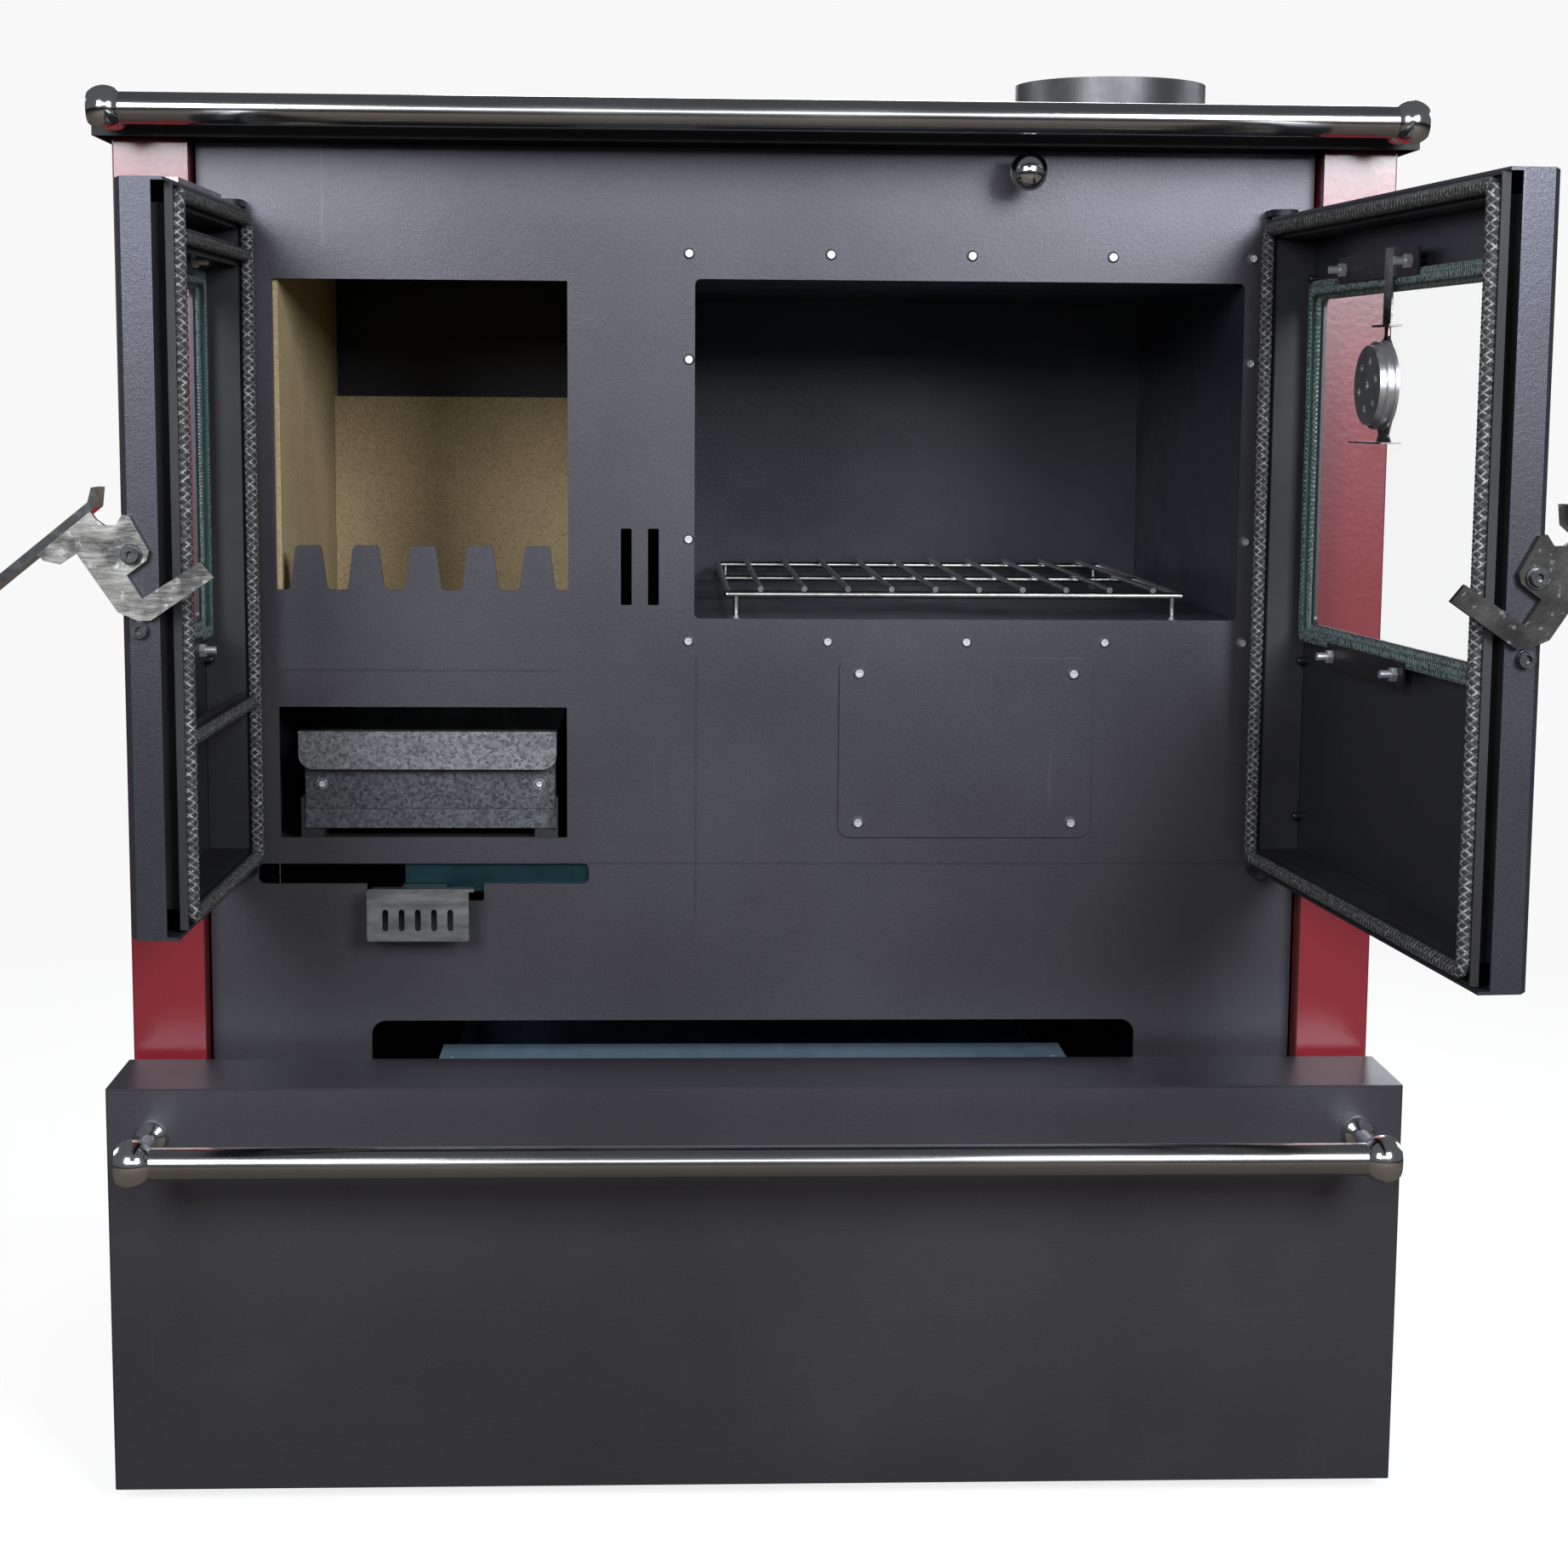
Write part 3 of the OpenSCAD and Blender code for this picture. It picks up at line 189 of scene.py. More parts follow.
def noise(wire, scale, detail=3.0, stretch=(1, 1, 1), roughness=0.55, turn=(0, 0, 0)):
    """Soft random patches, about 1/scale metres across."""
    return wire.add("TexNoise", Vector=place_of(wire, stretch, turn), Scale=scale,
                    Detail=detail, Roughness=roughness)


def cells(wire, scale, out="Distance", stretch=(1, 1, 1)):
    """Random cells, about 1/scale metres across: the distance from each one's middle, or a
    random colour for each."""
    return wire.add("TexVoronoi", out=out, Vector=place_of(wire, stretch), Scale=scale)


def dress(material, *names):
    """Gives a finish to carried-over nodes."""
    for name in names:
        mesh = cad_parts[name].data
        mesh.materials.clear()
        mesh.materials.append(material)


def camera_share(wire):
    """1 for what the camera sees straight, and 0 for light that falls on other things."""
    return wire.add("LightPath", out="Is Camera Ray")


def away(wire):
    """0 under the stove and 1 from about two metres outwards."""
    here = wire.add("TexCoord", out="Object")
    return wire.add("VectorMath", {"operation": "LENGTH"}, "Value", i0=here).between(0.7, 1.9)


# Dull brown to the stove's own light; to the camera a white ground that keeps a faint shadow.
BLACK = (0, 0, 0)
floor_finish = surface(
    "studio floor",
    lambda w: camera_share(w).blend((0.14, 0.12, 0.10), away(w).blend((0.28, 0.28, 0.28), BLACK)),
    0.9, Emission_Strength=1.0, Specular_IOR_Level=0.0,
    Emission_Color=lambda w: camera_share(w).blend(
        BLACK, away(w).blend((0.83, 0.83, 0.83), WHITE_GROUND)))
FLOOR_HALF, FLOOR_Z = 9, -0.001
floor_mesh = bpy.data.meshes.new("floor")
floor_mesh.from_pydata([(x*FLOOR_HALF, y*FLOOR_HALF, FLOOR_Z)
                        for x, y in ((-1, -1), (1, -1), (1, 1), (-1, 1))], [], [(0, 1, 2, 3)])
floor_mesh.materials.append(floor_finish)
floor = bpy.data.objects.new("floor", floor_mesh)
bpy.context.scene.collection.objects.link(floor)

# Side panels.
# Each side is one folded steel sheet, whose front fold is the red column. It is sprayed wine
# red and baked, so it is glossy, with the faint waviness of baked enamel and dull wipe marks.
enamel = surface(
    "wine red enamel",
    lambda w: noise(w, 2.2, 4).between(0.35, 0.75).blend(
        (0.20, 0.013, 0.022), (0.25, 0.019, 0.030)),
    lambda w: 0.26 + noise(w, 7.0, 5).between(0.4, 0.7)*0.07,
    bump=lambda w: noise(w, 260.0, 2) + noise(w, 18.0)*0.6, distance=0.00012,
    Coat_Weight=0.85, Coat_Roughness=0.2)
dress(enamel, "side_panel_left", "side_panel_right")

# Front plate, doors, drawer front and cleaning cover.
# Steel sheet in dark grey satin powder paint. The doors take darker greys of the same paint, as
# painted shade. The paint has a fine sandy grain, soft cloudy patches in its sheen, and hair
# scratches from trays and logs.


def scratches(wire, scale, turn):
    """Thin straight marks: noise drawn out along one direction and cut to its crests."""
    streak = noise(wire, scale, 2.0, (1, 1, 0.03), 0.5, turn)
    patch = noise(wire, 9.0, 2.0)
    return streak.between(0.69, 0.74)*patch.between(0.5, 0.62)


def powder_colour(wire, dark=(0.070, 0.068, 0.081), light=(0.090, 0.087, 0.102)):
    """Soft clouds between two greys, then pale scratches, then a fine pale grain over both."""
    cloud = noise(wire, 3.5, 4).between(0.3, 0.75)
    grain = noise(wire, 1400.0, 1.0).between(0.35, 0.7)
    base = cloud.blend(dark, light)
    marked = (scratches(wire, 260.0, (0.4, 0.9, 0.2))*0.22).blend(base, (0.16, 0.16, 0.17))
    return (grain*0.22).blend(marked, (0.14, 0.137, 0.157))


def powder_paint(name, colour):
    """The powder paint's sheen and grain, under a colour of its own."""
    return surface(
        name, colour,
        lambda w: 0.31 + noise(w, 5.0, 5).between(0.35, 0.7)*0.07 + noise(w, 900.0, 1.0)*0.05,
        0.7, lambda w: noise(w, 1500.0, 2.0) + noise(w, 420.0, 1.0)*0.7, 0.00007)


def shaded_door_colour(wire):
    """The same paint from darker greys, as painted shade on the doors."""
    return powder_colour(wire, (0.046, 0.048, 0.060), (0.060, 0.062, 0.076))


def tack_line(across, at, along, middle, half):
    """1 on a line 0.6 mm wide where one coordinate has a value, cut to its length along the
    other coordinate, and soft at its sides and ends."""
    side, end = abs(across - at), abs(along - middle)
    return (1 - side.between(0.0003, 0.0013))*(1 - end.between(half - 0.01, half))


def plate_colour(wire):
    """The powder paint with faint lines where the ash room and the oven are tacked on behind."""
    spot = wire.add("TexCoord", out="Object")
    x, z = (wire.add("SeparateXYZ", out=axis, Vector=spot) for axis in "XZ")
    upright = tack_line(x, -0.0416, z, 0.4645, 0.0955)
    left_level = tack_line(z, 0.543, x, -0.229, 0.099)
    low_level = tack_line(z, 0.410, x, 0.103, 0.249)
    lines = upright + left_level + low_level
    return (lines*0.4).blend(powder_colour(wire), (0.035, 0.035, 0.040))


dress(powder_paint("dark grey powder paint", powder_colour), "cover_plate", "drawer_front")
# The doors' darker greys are painted shade on the same paint, not a paint of their own.
dress(powder_paint("powder paint with painted shade", shaded_door_colour), "door_skin_left", "door_skin_right")
dress(powder_paint("front plate paint", plate_colour), "front_plate")

# Back, base, casing, hob frame, hinge lugs, door frames, ash guides and damper plate.
# Plain sheet in thin black heat paint, matt and a little patchy, greyer where soot has dried.
heat_paint = surface(
    "black heat paint",
    lambda w: noise(w, 6.0, 5).between(0.35, 0.72).blend(
        (0.012, 0.012, 0.014), (0.028, 0.028, 0.032)),
    lambda w: 0.44 + noise(w, 14.0, 4)*0.16,
    bump=lambda w: noise(w, 1100.0, 2.0) + noise(w, 90.0)*0.8, distance=0.00009,
    Specular_IOR_Level=0.35)
dress(heat_paint, "base_tray", "back_panel", "firebox_casing", "damper_plate", "door_frame_left",
      "door_frame_right", "ash_guides", "hob_frame", "hinge_lugs")

# Oven box.
# Enamelled steel, near black and smoother than the paint outside, with a bluish sheen and
# duller patches of baked-on grease.
oven_enamel = surface(
    "black oven enamel",
    lambda w: noise(w, 5.0, 4).between(0.35, 0.7).blend(
        (0.024, 0.029, 0.041), (0.035, 0.042, 0.058)),
    lambda w: 0.30 + noise(w, 9.0, 5).between(0.4, 0.72)*0.16,
    bump=lambda w: noise(w, 420.0, 2.0), distance=0.0001)
dress(oven_enamel, "oven_box")

# Hob plate, ring, lid and grate.
# Grey cast iron. The hob is ground flat in one direction and oiled, and the pores of the
# casting show as a fine pitting.


def iron_height(wire):
    """Fine sand grain, less round pits, plus long grinding marks that run from front to back."""
    pits = 1 - cells(wire, 900.0).between(0.0, 0.35)
    return noise(wire, 700.0, 3.0)*0.6 - pits*0.5 + noise(wire, 220.0, 2.0, (1, 0.04, 1))*0.7


iron = surface(
    "oiled cast iron",
    lambda w: noise(w, 12.0, 5).between(0.3, 0.7).blend(
        (0.035, 0.034, 0.034), (0.066, 0.064, 0.062)),
    lambda w: 0.42 + noise(w, 30.0, 4)*0.2, 0.55, iron_height, 0.00016)
dress(iron, "hob_plate", "hob_ring", "hob_lid", "fire_grate")

# Rails, knob, damper rod and lever grips.
# Chromed tube, polished until the room shows in it, with a few fine rub marks. The turned balls,
# the knob and the grips are polished further, and take a brighter copy of the chrome as a painted
# reflection that the dim room does not give them.
chrome = surface(
    "polished chrome",
    lambda w: noise(w, 8.0, 3).between(0.3, 0.8).blend((0.50, 0.50, 0.50), (0.58, 0.58, 0.58)),
    lambda w: 0.15 + noise(w, 45.0, 4, (0.1, 1, 1)).between(0.45, 0.75)*0.09, 1.0,
    lambda w: noise(w, 500.0, 2.0, (0.05, 1, 1)), 0.00002)
dress(chrome, "top_rail", "drawer_bar", "damper_rod")
# A brighter copy of the chrome: painted reflection on the balls, the knob and the grips.
chrome_with_painted_reflection = surface(
    "polished chrome brightened as painted reflection",
    lambda w: noise(w, 8.0, 3).between(0.3, 0.8).blend((0.80, 0.80, 0.80), (0.88, 0.88, 0.88)),
    lambda w: 0.10 + noise(w, 90.0, 4).between(0.45, 0.75)*0.08, 1.0,
    lambda w: noise(w, 260.0, 2.0), 0.00003)
dress(chrome_with_painted_reflection, "rail_end_left", "rail_end_right", "bar_end_left", "bar_end_right",
      "damper_knob", "latch_grip_left", "latch_grip_right")

# Latch levers, strap, hanger and flue collar.
# Bare cut steel. The firebox door's lever is brushed and scuffed bright in places, the collar
# is darker, and the oven door's lever is browned by smoke until nearly black.


def bare_colour(wire):
    """Clouds and slanting brush marks between two greys, with small bright scuffs."""
    brushed = noise(wire, 300.0, 3.0, (0.15, 1, 1), 0.5, (0, 0.7, 0))
    skin = (noise(wire, 45.0, 4)*0.6 + brushed*0.5).between(0.35, 0.8).blend(
        (0.20, 0.195, 0.185), (0.42, 0.41, 0.39))
    return (noise(wire, 170.0, 4.0).between(0.58, 0.70)*0.6).blend(skin, (0.78, 0.78, 0.78))


bare_steel = surface(
    "bare mill steel", bare_colour,
    lambda w: 0.24 + noise(w, 60.0, 3).between(0.35, 0.7)*0.2, 0.95,
    lambda w: noise(w, 300.0, 3.0, (0.2, 1, 1), 0.5, (0, 0.7, 0)) + noise(w, 60.0, 2.0)*1.5,
    0.00016)
dress(bare_steel, "latch_left", "door_strap_left", "thermometer_hanger")
collar_steel = surface(
    "dark bare steel",
    lambda w: noise(w, 16.0, 5).between(0.35, 0.7).blend(
        (0.10, 0.10, 0.105), (0.19, 0.19, 0.195)),
    lambda w: 0.38 + noise(w, 60.0, 3)*0.15, 0.8,
    lambda w: noise(w, 500.0, 3.0, (1, 1, 0.1)), 0.00008)
dress(collar_steel, "flue_collar")


def smoked_colour(wire):
    """Brown-black clouds with a few bare specks."""
    specks = noise(wire, 210.0, 4.0).between(0.60, 0.72)*0.4
    smoke = noise(wire, 50.0, 4).between(0.35, 0.7).blend(
        (0.022, 0.021, 0.021), (0.055, 0.053, 0.051))
    return specks.blend(smoke, (0.5, 0.5, 0.5))


smoked_steel = surface("smoked steel", smoked_colour, lambda w: 0.30 + noise(w, 70.0, 3)*0.2, 0.6,
                       lambda w: noise(w, 300.0, 3.0), 0.00012)
dress(smoked_steel, "latch_right")

# Screws, bolts and runners.
# Zinc-plated pan heads and bent runners, with the slight blue of fresh plating, and socket
# bolts of blackened steel on the levers.
zinc = surface(
    "zinc plating",
    lambda w: noise(w, 300.0, 3).between(0.3, 0.7).blend((0.74, 0.74, 0.78), (0.86, 0.86, 0.90)),
    lambda w: 0.30 + noise(w, 500.0, 2)*0.12, 1.0, lambda w: noise(w, 1200.0, 2.0), 0.00004)
dress(zinc, "oven_screws", "cover_screws", "drawer_runners")
black_bolt = surface(
    "blackened bolt",
    lambda w: noise(w, 400.0).between(0.35, 0.7).blend((0.10, 0.10, 0.11), (0.19, 0.19, 0.20)),
    0.27, 0.9, lambda w: noise(w, 1500.0, 2.0), 0.00004)
dress(black_bolt, "latch_bolts_left", "latch_bolts_right")

# Ash pan and its lip.
# Galvanised sheet: a grey zinc skin whose small crystals glint differently, streaked by rolling
# and dulled by ash. The lip is a bent strip held to the pan by two rivets; its front flap is
# painted lighter, as painted light that the upturned flap catches.


def crystals(wire, scale=520.0, stretch=(1, 1, 1)):
    """Random cells, each of one value between 0 and 1."""
    return wire.add("RGBToBW", Color=cells(wire, scale, "Color", stretch))


def galvanised_colour(wire, dark=(0.075, 0.083, 0.092), light=(0.155, 0.168, 0.182)):
    """Crystals and clouds between two greys, with level streaks of a third."""
    skin = (crystals(wire)*0.7 + noise(wire, 60.0, 4)*0.4).blend(dark, light)
    streaks = noise(wire, 70.0, 3, (0.08, 1, 1)).between(0.5, 0.75)*0.45
    return streaks.blend(skin, (0.11, 0.117, 0.125))


def galvanised_sheet(name, colour, metallic):
    """The zinc's sheen and relief, which change from crystal to crystal, under a colour."""
    return surface(name, colour, lambda w: 0.30 + crystals(w)*0.22, metallic,
                   lambda w: noise(w, 600.0, 3.0) + crystals(w)*0.5, 0.00006)


def rivet_share(wire):
    """1 within the head of either rivet of the lip, measured sideways and upwards only."""
    low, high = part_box("ash_pan")
    rivet_z = low[2] + 0.031
    spot = wire.add("VectorMath", {"operation": "MULTIPLY"},
                    i0=wire.add("TexCoord", out="Object"), i1=(1, 0, 1))
    off = [wire.add("VectorMath", {"operation": "DISTANCE"}, "Value", i0=spot, i1=(x, 0, rivet_z))
           for x in (low[0] + 0.012, high[0] - 0.011)]
    return 1 - wire.math("MINIMUM", *off).between(0.0034, 0.0037)


def lip_colour(wire):
    """Zinc painted lighter on the lip's front flap as painted light, where it faces up and out,
    duller on the panel behind it, and two bright rivets.
    """
    y = wire.add("SeparateXYZ", out="Y", Vector=wire.add("TexCoord", out="Object"))
    front = float(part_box("ash_pan_lip")[0][1])
    flap = y.between(front + 0.004, front + 0.002)
    # The flap's lighter zinc is painted light, for the light the upturned flap catches.
    lit_flap_zinc = galvanised_colour(wire, (0.16, 0.17, 0.18), (0.32, 0.335, 0.35))
    sheet = flap.blend(galvanised_colour(wire), lit_flap_zinc)
    return rivet_share(wire).blend(sheet, (0.80, 0.80, 0.84))


dress(galvanised_sheet("galvanised sheet", galvanised_colour, 0.85), "ash_pan")
dress(galvanised_sheet("galvanised lip with rivets", lip_colour, 0.95), "ash_pan_lip")

# Air shutter and wood box.
# The shutter is sheet blued by heat, with its bent tab left bare; in the slot its blue is painted
# near black, as painted shade. The box has a dull blue-grey skin, rubbed paler in streaks from
# front to back, as logs slide over it.
TAB_EDGE = float(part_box("front_plate")[0][1]) - 0.002


def tab_share(wire):
    """1 in front of the plate, where the bare bent tab stands, and 0 in the slot."""
    y = wire.add("SeparateXYZ", out="Y", Vector=wire.add("TexCoord", out="Object"))
    return y.between(TAB_EDGE, TAB_EDGE - 0.001)


def shutter_colour(wire):
    """Clouds of teal painted near black in the slot as painted shade, and level brush marks in
    bare steel on the tab.
    """
    # The blue is the sheet's own; its near-black depth in the slot is painted shade.
    blue = noise(wire, 18.0, 4).between(0.35, 0.7).blend(
        (0.006, 0.026, 0.034), (0.014, 0.044, 0.054))
    bare = noise(wire, 120.0, 4, (0.2, 1, 1)).between(0.3, 0.75).blend(
        (0.13, 0.135, 0.14), (0.28, 0.285, 0.29))
    return tab_share(wire).blend(blue, bare)


blued = surface("blued sheet", shutter_colour, lambda w: 0.32 + noise(w, 120.0, 3)*0.18, 0.85,
                lambda w: noise(w, 500.0, 3.0, (0.1, 1, 1)), 0.00006)
dress(blued, "air_slide")
box_skin = surface(
    "blue-grey box sheet",
    lambda w: noise(w, 30.0, 4, (1, 0.15, 1)).between(0.4, 0.7).blend(
        (0.21, 0.32, 0.42), (0.29, 0.40, 0.50)),
    lambda w: 0.38 + noise(w, 150.0, 3)*0.2, 0.45,
    lambda w: noise(w, 500.0, 3.0, (1, 0.1, 1)), 0.00006)
dress(box_skin, "wood_box")

# Firebricks.
# Pressed slabs of expanded mineral: pale tan, full of small golden and brown flakes, with
# dark pores and rough, slightly crumbled faces. They stand loose against the casing.


def brick_flakes(wire):
    """Flat cells about a millimetre across, each of one value."""
    return crystals(wire, 750.0, (1, 1, 1.7))


def brick_colour(wire):
    """A tan body with golden and brown flakes, and dark pores where a coarse noise is high."""
    flake = brick_flakes(wire)
    body = noise(wire, 14.0, 4).between(0.3, 0.7).blend(
        (0.42, 0.325, 0.175), (0.49, 0.385, 0.22))
    flaked = flake.between(0.5, 0.95).blend(body, (0.56, 0.46, 0.29))
    browned = (flake.between(0.30, 0.16)*0.55).blend(flaked, (0.26, 0.18, 0.085))
    pores = 1 - cells(wire, 190.0).between(0.03, 0.11)
    return (pores*noise(wire, 60.0).between(0.5, 0.6)).blend(browned, (0.12, 0.085, 0.05))


def brick_height(wire):
    """Flakes and a coarse grain, less the pores."""
    pores = 1 - cells(wire, 190.0).between(0.03, 0.13)
    return brick_flakes(wire)*0.4 + noise(wire, 240.0, 4.0)*0.6 - pores*0.8


firebrick = surface("pressed mineral slab", brick_colour, lambda w: 0.85 + noise(w, 200.0)*0.1,
                    0.0, brick_height, 0.0004)
dress(firebrick, "firebrick_left", "firebrick_right", "firebrick_back")

# Oven rack.
# Round wires welded to a rim and plated bright. Heat has tinted the plating slightly.
rack_plating = surface(
    "plated rack wire",
    lambda w: noise(w, 25.0, 3).between(0.35, 0.7).blend((0.52, 0.50, 0.48), (0.68, 0.67, 0.66)),
    lambda w: 0.16 + noise(w, 200.0, 3)*0.14, 1.0, lambda w: noise(w, 900.0, 2.0), 0.00004)
dress(rack_plating, "oven_rack")

# Thermometer.
# A drawn stainless dial case hung from the glass's upper clip strip, its back facing the oven,
# with a ring of holes and bright turned rims.
dial_case = surface(
    "turned stainless",
    lambda w: noise(w, 60.0, 3).between(0.3, 0.7).blend((0.52, 0.52, 0.54), (0.68, 0.68, 0.70)),
    lambda w: 0.28 + noise(w, 250.0, 3)*0.14, 0.9, lambda w: noise(w, 1500.0, 2.0), 0.00003)
dress(dial_case, "thermometer")

# Door glass.
# Clear heat-proof panes, ground at the rim. Seen flat they are almost invisible, and their
# edges are green. They turn with the doors, about hinge lines level with the columns' faces.
HINGE = {"left": -350.0, "right": 350.0}  # mm from the middle of the stove
COLUMN_FACE = 1000*COLUMN_FACE_Y  # mm, the closed doors' zero of depth
OPEN = {"left": math.radians(-91.4), "right": math.radians(95.0)}


def on_door(side, points):
    """Carries points from the closed door, in millimetres from the column faces, to the open
    door in metres: a turn about the hinge line, then a shift to the middle of the footprint."""
    points = np.asarray(points, float)
    hinge, turn = HINGE[side], OPEN[side]
    dx, dy = points[..., 0] - hinge, points[..., 1]
    x = hinge + dx*math.cos(turn) - dy*math.sin(turn)
    y = dx*math.sin(turn) + dy*math.cos(turn) + COLUMN_FACE
    return np.stack([x, y, points[..., 2]], -1)/1000


def across_door(wire, side, what):
    """How far a vector reaches along the open door's own depth direction."""
    depth_way = (-math.sin(OPEN[side]), math.cos(OPEN[side]), 0)
    return wire.add("VectorMath", {"operation": "DOT_PRODUCT"}, "Value",
                    i0=wire.add("TexCoord", out=what), i1=depth_way)


def pane(side):
    """Clear glass whose rim, where the face turns away from the pane's own normal, is green."""

    def rim(wire):
        return abs(across_door(wire, side, "Normal")).between(0.7, 0.3)

    return surface(
        f"clear pane {side}", lambda w: rim(w).blend((0.88, 0.95, 0.93), (0.05, 0.20, 0.18)),
        lambda w: 0.03 + noise(w, 20.0, 3)*0.03, Alpha=lambda w: 0.035 + rim(w)*0.8)


for side in ("left", "right"):
    dress(pane(side), f"door_glass_{side}")

# Clip strips of the glass.
# The strips and the welded studs' feet are black like the frame; nuts and thread ends, which
# stand further out of the door, are zinc-plated.
STRIP_FACE = -0.009  # m, the depth on the closed door from which nuts and thread ends stand out


def clip_finish(side):
    """Black steel up to the strips' faces, and zinc from there on, by depth in the door."""
    turn = OPEN[side]
    zero = (-math.sin(turn)*HINGE[side] + math.cos(turn)*COLUMN_FACE)/1000

    def plated(wire):
        depth = across_door(wire, side, "Object") - zero
        return depth.between(STRIP_FACE - 0.0001, STRIP_FACE + 0.0001)

    return surface(
        f"clip steel {side}", lambda w: plated(w).blend((0.03, 0.03, 0.032), (0.50, 0.50, 0.52)),
        lambda w: 0.30 + noise(w, 300.0, 3)*0.2, 0.7, lambda w: noise(w, 900.0, 2.0), 0.00006)


for side in ("left", "right"):
    dress(clip_finish(side), f"glass_clips_{side}")

# Rope seals.
# Braided glass-fibre rope, pressed into the groove round each door: charcoal strands with
# pale fibres in the furrows between them. The firebox door has two runs across as well.
# Sizes are in millimetres on the closed door.
ROPE_Y = 13.2
ROPE_R = 4.35
ROPE_PITCH = 4.9  # the length in which a strand comes round to its neighbour's place
ROPE_STRANDS = 4  # in each of the two families
ROPE_STEP = 0.9
ROPE_SIDES = 24
# The braid's radius as shares of the rope's own: the middle level, how far the strands' waves
# rise and fall, and where their crests are pressed flat.
BRAID_LEVEL, BRAID_WAVE, BRAID_CREST = 1.035, 0.075, 0.3
END_DOME = 3.0
BOTTOM, TOP = 419.5, 841.4  # middle lines of the lower and upper runs


def loop_path(x0, x1, z0, z1, corner=7.0, step=ROPE_STEP):
    """A rectangle with quarter-round corners, as evenly spaced points round it, the distance of
    each from the start, and the whole length."""
    cx0, cx1, cz0, cz1 = x0 + corner, x1 - corner, z0 + corner, z1 - corner
    bends = [(cx1, cz0, -90), (cx1, cz1, 0), (cx0, cz1, 90), (cx0, cz0, 180)]
    turns = np.radians(np.linspace(0, 90, 13))
    corners = [np.stack([cx + corner*np.cos(turns + math.radians(a)),
                         cz + corner*np.sin(turns + math.radians(a))], -1) for cx, cz, a in bends]
    rough = np.concatenate(corners + [corners[0][:1]])
    lengths = np.concatenate([[0], np.cumsum(np.hypot(*np.diff(rough, axis=0).T))])
    count = int(lengths[-1]/step)
    at = np.linspace(0, lengths[-1], count, endpoint=False)
    return np.stack([np.interp(at, lengths, rough[:, n]) for n in (0, 1)], -1), at, lengths[-1]


def braid(path, run, closed, side, radius=ROPE_R):
    """A braided tube. Its radius is a level plus the lower of two waves, one for each family of
    strands. The families wind opposite ways, so the deeper furrow wins at each point."""
    along = np.roll(path, -1, 0) - np.roll(path, 1, 0) if closed else np.gradient(path, axis=0)
    along /= np.linalg.norm(along, axis=1, keepdims=True)
    normal = np.stack([along[:, 1], -along[:, 0]], -1)
    around = np.arange(ROPE_SIDES)*2*np.pi/ROPE_SIDES
    strand_a = np.cos(ROPE_STRANDS*around[None] + 2*np.pi*run[:, None]/ROPE_PITCH)
    strand_b = np.cos(ROPE_STRANDS*around[None] - 2*np.pi*run[:, None]/ROPE_PITCH)
    lower = np.clip(np.minimum(strand_a, strand_b), -1, BRAID_CREST)
    r = radius*(BRAID_LEVEL + BRAID_WAVE*lower)
    if not closed:  # the ends of a cut run close like a dome
        r = r*np.sqrt(np.clip(np.minimum(run, run[-1] - run)/END_DOME, 0, 1))[:, None]
    x = path[:, None, 0] + r*np.cos(around)*normal[:, None, 0]
    z = path[:, None, 1] + r*np.cos(around)*normal[:, None, 1]
    y = ROPE_Y + r*np.sin(around)
    points = on_door(side, np.stack([x, y, z], -1))
    rows, cols = r.shape
    first, col = np.arange(rows if closed else rows - 1), np.arange(cols)
    here, ahead = first[:, None]*cols, ((first + 1) % rows)[:, None]*cols
    beside = (col + 1) % cols
    quads = np.stack([(here + col).ravel(), (here + beside).ravel(),
                      (ahead + beside).ravel(), (ahead + col).ravel()], -1)
    # Each face's corners get their own place along and round the rope, so no face wraps back.
    u = np.repeat(run[first], cols)[:, None] + np.array([0, 0, 1, 1])*(run[1] - run[0])
    v = (np.tile(col, len(first))[:, None] + np.array([0, 1, 1, 0]))/cols
    return points.reshape(-1, 3), quads, np.stack([u/1000, v], -1)


MERGE_DISTANCE = 1e-7


def sewn_mesh(name, parts, finish, body, slot, *replaced):
    """Joins grid parts, each of points, faces and corner places, into one piece, and merges
    doubled points before its normals are turned outwards."""
    offsets = np.cumsum([0] + [len(p) for p, _, _ in parts[:-1]])
    points = np.concatenate([p for p, _, _ in parts])
    faces = np.concatenate([q + o for (_, q, _), o in zip(parts, offsets)])
    mesh = bpy.data.meshes.new(name)
    mesh.from_pydata(points.tolist(), [], faces.tolist())
    places = mesh.uv_layers.new(name="run")
    places.data.foreach_set("uv", np.concatenate([uv for _, _, uv in parts]).reshape(-1))
    mesh.polygons.foreach_set("use_smooth", [True]*len(faces))
    work = bmesh.new()
    work.from_mesh(mesh)
    bmesh.ops.remove_doubles(work, verts=work.verts, dist=MERGE_DISTANCE)
    bmesh.ops.recalc_face_normals(work, faces=work.faces)
    work.to_mesh(mesh)
    work.free()
    mesh.materials.append(finish)
    made = bpy.data.objects.new(name, mesh)
    bpy.context.scene.collection.objects.link(made)
    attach(made, body)
    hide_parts(*replaced)


def along_and_round(wire):
    """The place on a sewn piece: metres along it, and its share of the way round."""
    place = wire.add("UVMap", {"uv_map": "run"})
    return [wire.add("SeparateXYZ", out=axis, Vector=place) for axis in "XY"]


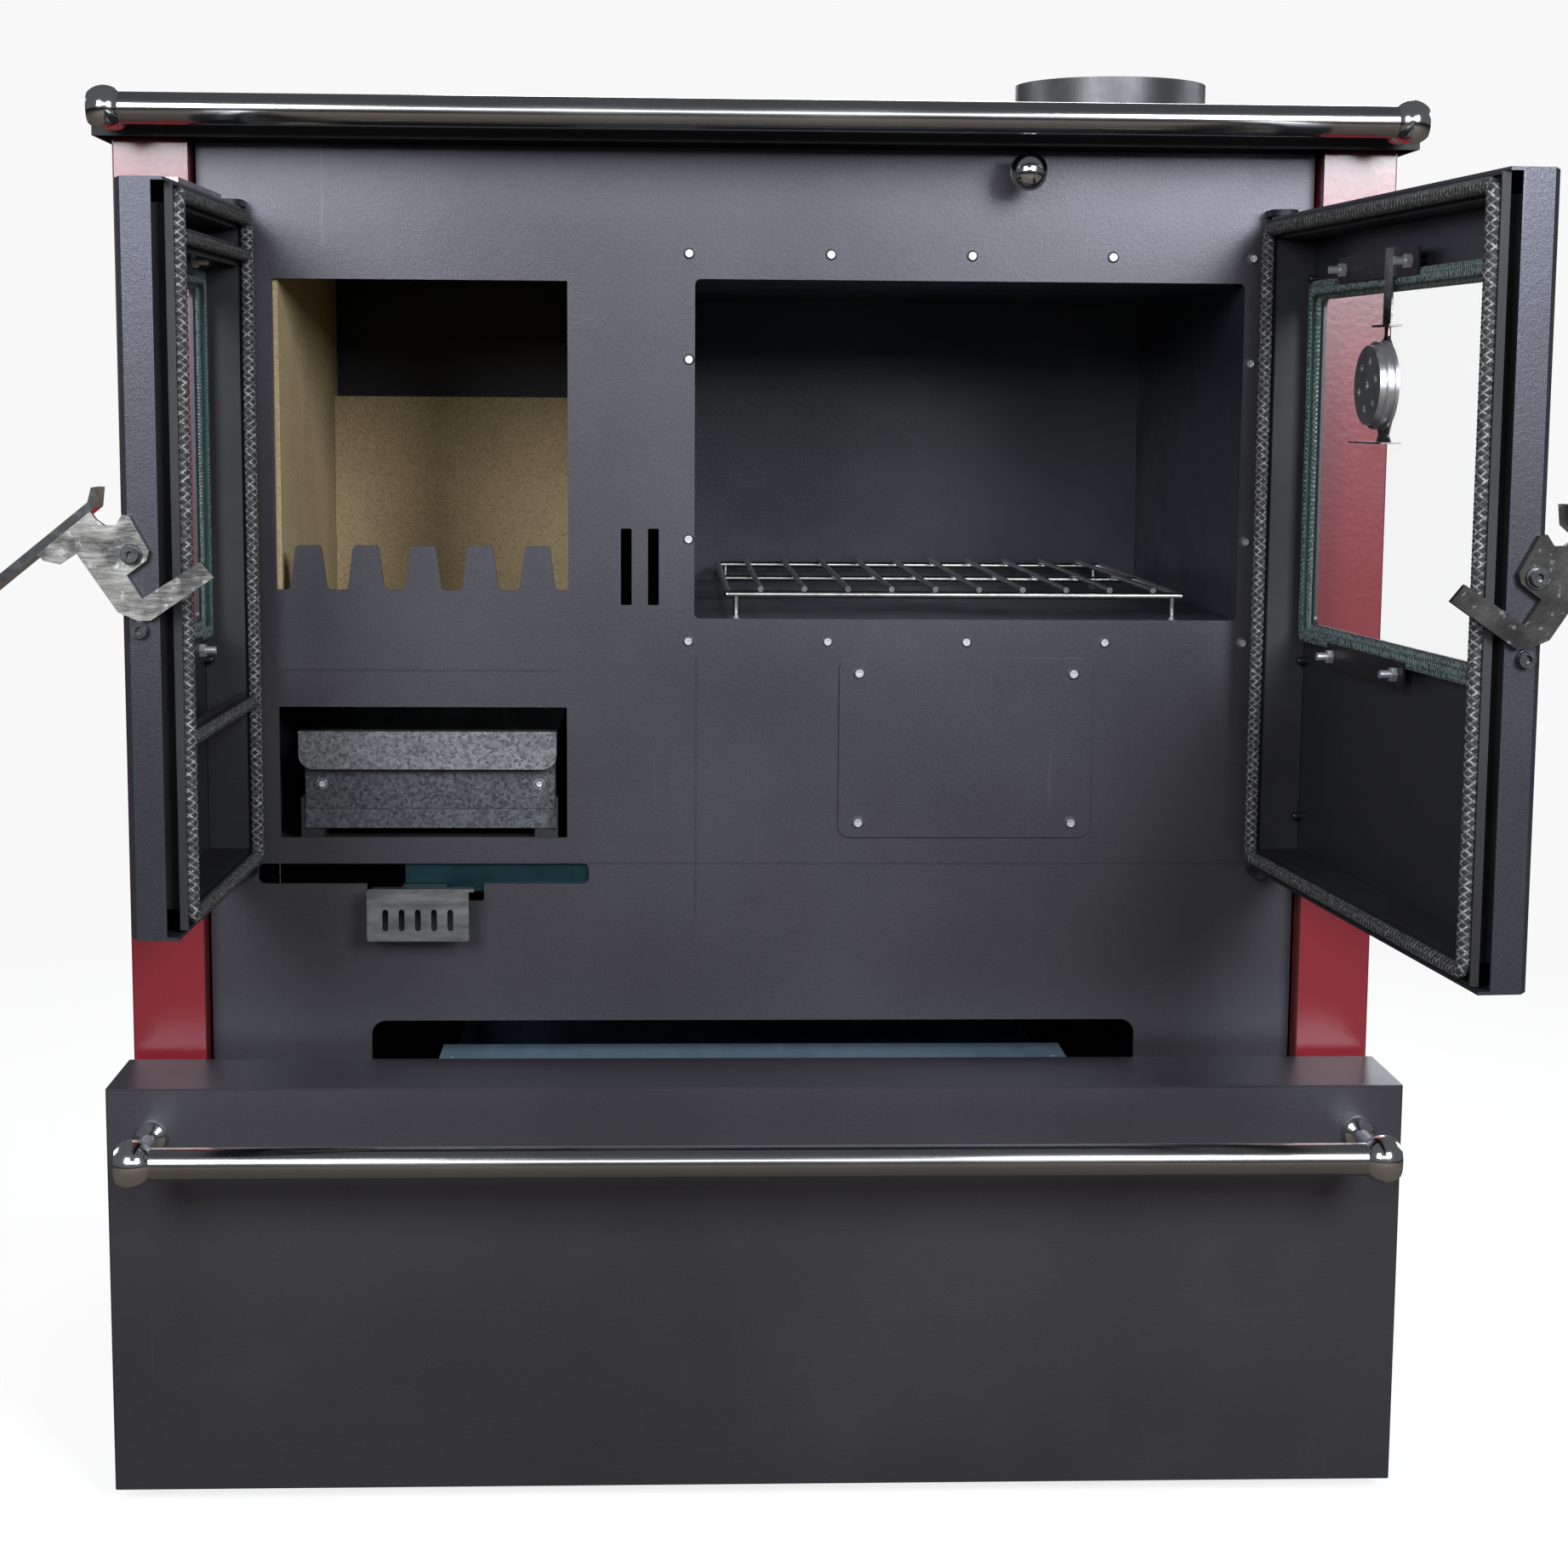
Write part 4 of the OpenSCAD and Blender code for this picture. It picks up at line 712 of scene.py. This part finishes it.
def rope_colour(wire):
    """Dark yarn, with pale flecks where the same two waves as in the braid's radius are low."""
    run, turn = along_and_round(wire)
    turn, run = turn*(ROPE_STRANDS*2*math.pi), run*(2*math.pi/(ROPE_PITCH/1000))
    lower = wire.math("MINIMUM", (turn + run).wave("COSINE"), (turn - run).wave("COSINE"))
    fleck = noise(wire, 420.0, 3.0).between(0.42, 0.66)
    dark = noise(wire, 240.0).between(0.3, 0.7).blend(
        (0.011, 0.011, 0.012), (0.036, 0.035, 0.035))
    return (lower.between(-0.5, -0.98)*(0.15 + fleck*0.85)).blend(dark, (0.36, 0.36, 0.35))


def rope_height(wire):
    """Fine fibres that cross the rope, and a rough fuzz."""
    place = wire.add("Mapping", Vector=wire.add("UVMap", {"uv_map": "run"}), Scale=(900, 30, 1))
    fibres = wire.add("TexNoise", Vector=place, Scale=1.0, Detail=2.0)
    return fibres + noise(wire, 1800.0, 2.0)*0.6


rope_finish = surface("braided glass rope", rope_colour, 0.78, 0.0, rope_height, 0.0004)


def rope_run(side, x0, x1, crossings):
    """The loop round a door and, at the heights of the crossings, straight runs across it that
    end inside the loop's own rope."""
    path, run, _ = loop_path(x0, x1, BOTTOM, TOP)
    parts = [braid(path, run, True, side)]
    inset = 5
    length = x1 - x0 - 2*inset
    for z in crossings:
        count = int(length/ROPE_STEP)
        line = np.stack([np.linspace(x0 + inset, x1 - inset, count), np.full(count, z)], -1)
        parts.append(braid(line, np.linspace(0, length, count), False, side, ROPE_R - 0.3))
    return parts


sewn_mesh("firebox_door_rope", rope_run("left", -340.8, -112, [525, 818]), rope_finish,
          "firebox_door", "rope", "door_rope_left")
sewn_mesh("oven_door_rope", rope_run("right", -57, 340.8, []), rope_finish,
          "oven_door", "rope", "door_rope_right")

# Glass seals.
# Flat tape woven from glass yarn, folded over the rim of each pane so that it shows on the
# inside as a narrow speckled border. Sizes are in millimetres on the closed door.
PANE_X = {"left": (-325.0, -122.0), "right": (-38.0, 325.0)}
PANE_Z = (571.0, 805.0)
PANE_FRONT, PANE_BACK = -15.0, -11.0
TAPE_CORNER = 5.2
TAPE_STEPS = 300
PATH_STEP = 4.0
TAPE_RUN = 1200.0  # length of the weave's pattern round a pane
THREAD = 0.0016  # m from one thread to the next

# The folded tape in section: distance inwards from the pane's rim, and depth.
TAPE_SECTION = [
    (10.0, PANE_FRONT - 0.1), (5.0, PANE_FRONT - 2.8), (0.5, PANE_FRONT - 2.9),
    (-1.6, PANE_FRONT - 2.0), (-2.2, PANE_FRONT), (-2.2, PANE_BACK - 1.2),
    (-1.2, PANE_BACK + 0.1), (0.4, PANE_BACK + 0.26), (6.6, PANE_BACK + 0.26),
    (7.0, PANE_BACK + 0.05), (0.6, PANE_BACK + 0.02), (-0.4, PANE_BACK - 0.4),
    (-0.6, PANE_FRONT), (0.0, PANE_FRONT - 0.3), (4.0, PANE_FRONT - 0.2)]


def tape(side):
    """A band folded round the pane's rim: the section carried round a rectangle with rounded
    corners, where each point of the section takes its own rectangle, by the same shares."""
    x0, x1 = PANE_X[side]
    z0, z1 = PANE_Z
    share = np.linspace(0, 1, TAPE_STEPS, endpoint=False)
    loops = []
    for inward, depth in TAPE_SECTION:
        path, run, total = loop_path(x0 + inward, x1 - inward, z0 + inward, z1 - inward,
                                     TAPE_CORNER, PATH_STEP)
        at = np.append(run, total)/total
        x, z = (np.interp(share, at, np.append(path[:, n], path[0, n])) for n in (0, 1))
        loops.append(np.stack([x, np.full(TAPE_STEPS, depth), z], -1))
    points = on_door(side, np.array(loops))
    rows, cols = points.shape[:2]
    r, c = np.meshgrid(np.arange(rows), np.arange(cols), indexing="ij")
    here, ahead, beside = r*cols, ((r + 1) % rows)*cols, (c + 1) % cols
    quads = np.stack([here + c, here + beside, ahead + beside, ahead + c], -1).reshape(-1, 4)
    step, width = TAPE_RUN/cols, 2.0
    u = c.reshape(-1, 1)*step + np.array([0, step, step, 0])
    v = r.reshape(-1, 1)*width + np.array([0, 0, width, width])
    return points.reshape(-1, 3), quads, np.stack([u/1000, v/1000], -1)


def weave(wire):
    """A plain weave: threads over and under, as the product of two waves."""
    u, v = (place*(math.pi/THREAD) for place in along_and_round(wire))
    return u.wave("SINE")*v.wave("SINE")


def tape_colour(wire):
    """Dark green-grey yarn, with pale threads where the weave and a noise are both high."""
    threads = weave(wire).between(-0.2, 0.5)*noise(wire, 420.0, 2.0).between(0.36, 0.58)
    return threads.blend((0.036, 0.054, 0.055), (0.42, 0.56, 0.54))


tape_finish = surface("woven glass tape", tape_colour, 0.8, 0.0,
                      lambda w: abs(weave(w)) + noise(w, 700.0, 2.0)*0.5, 0.0004)
sewn_mesh("firebox_glass_tape", [tape("left")], tape_finish,
          "firebox_door", "tape", "glass_seal_left")
sewn_mesh("oven_glass_tape", [tape("right")], tape_finish,
          "oven_door", "tape", "glass_seal_right")

bpy.context.scene.view_settings.view_transform = "Standard"
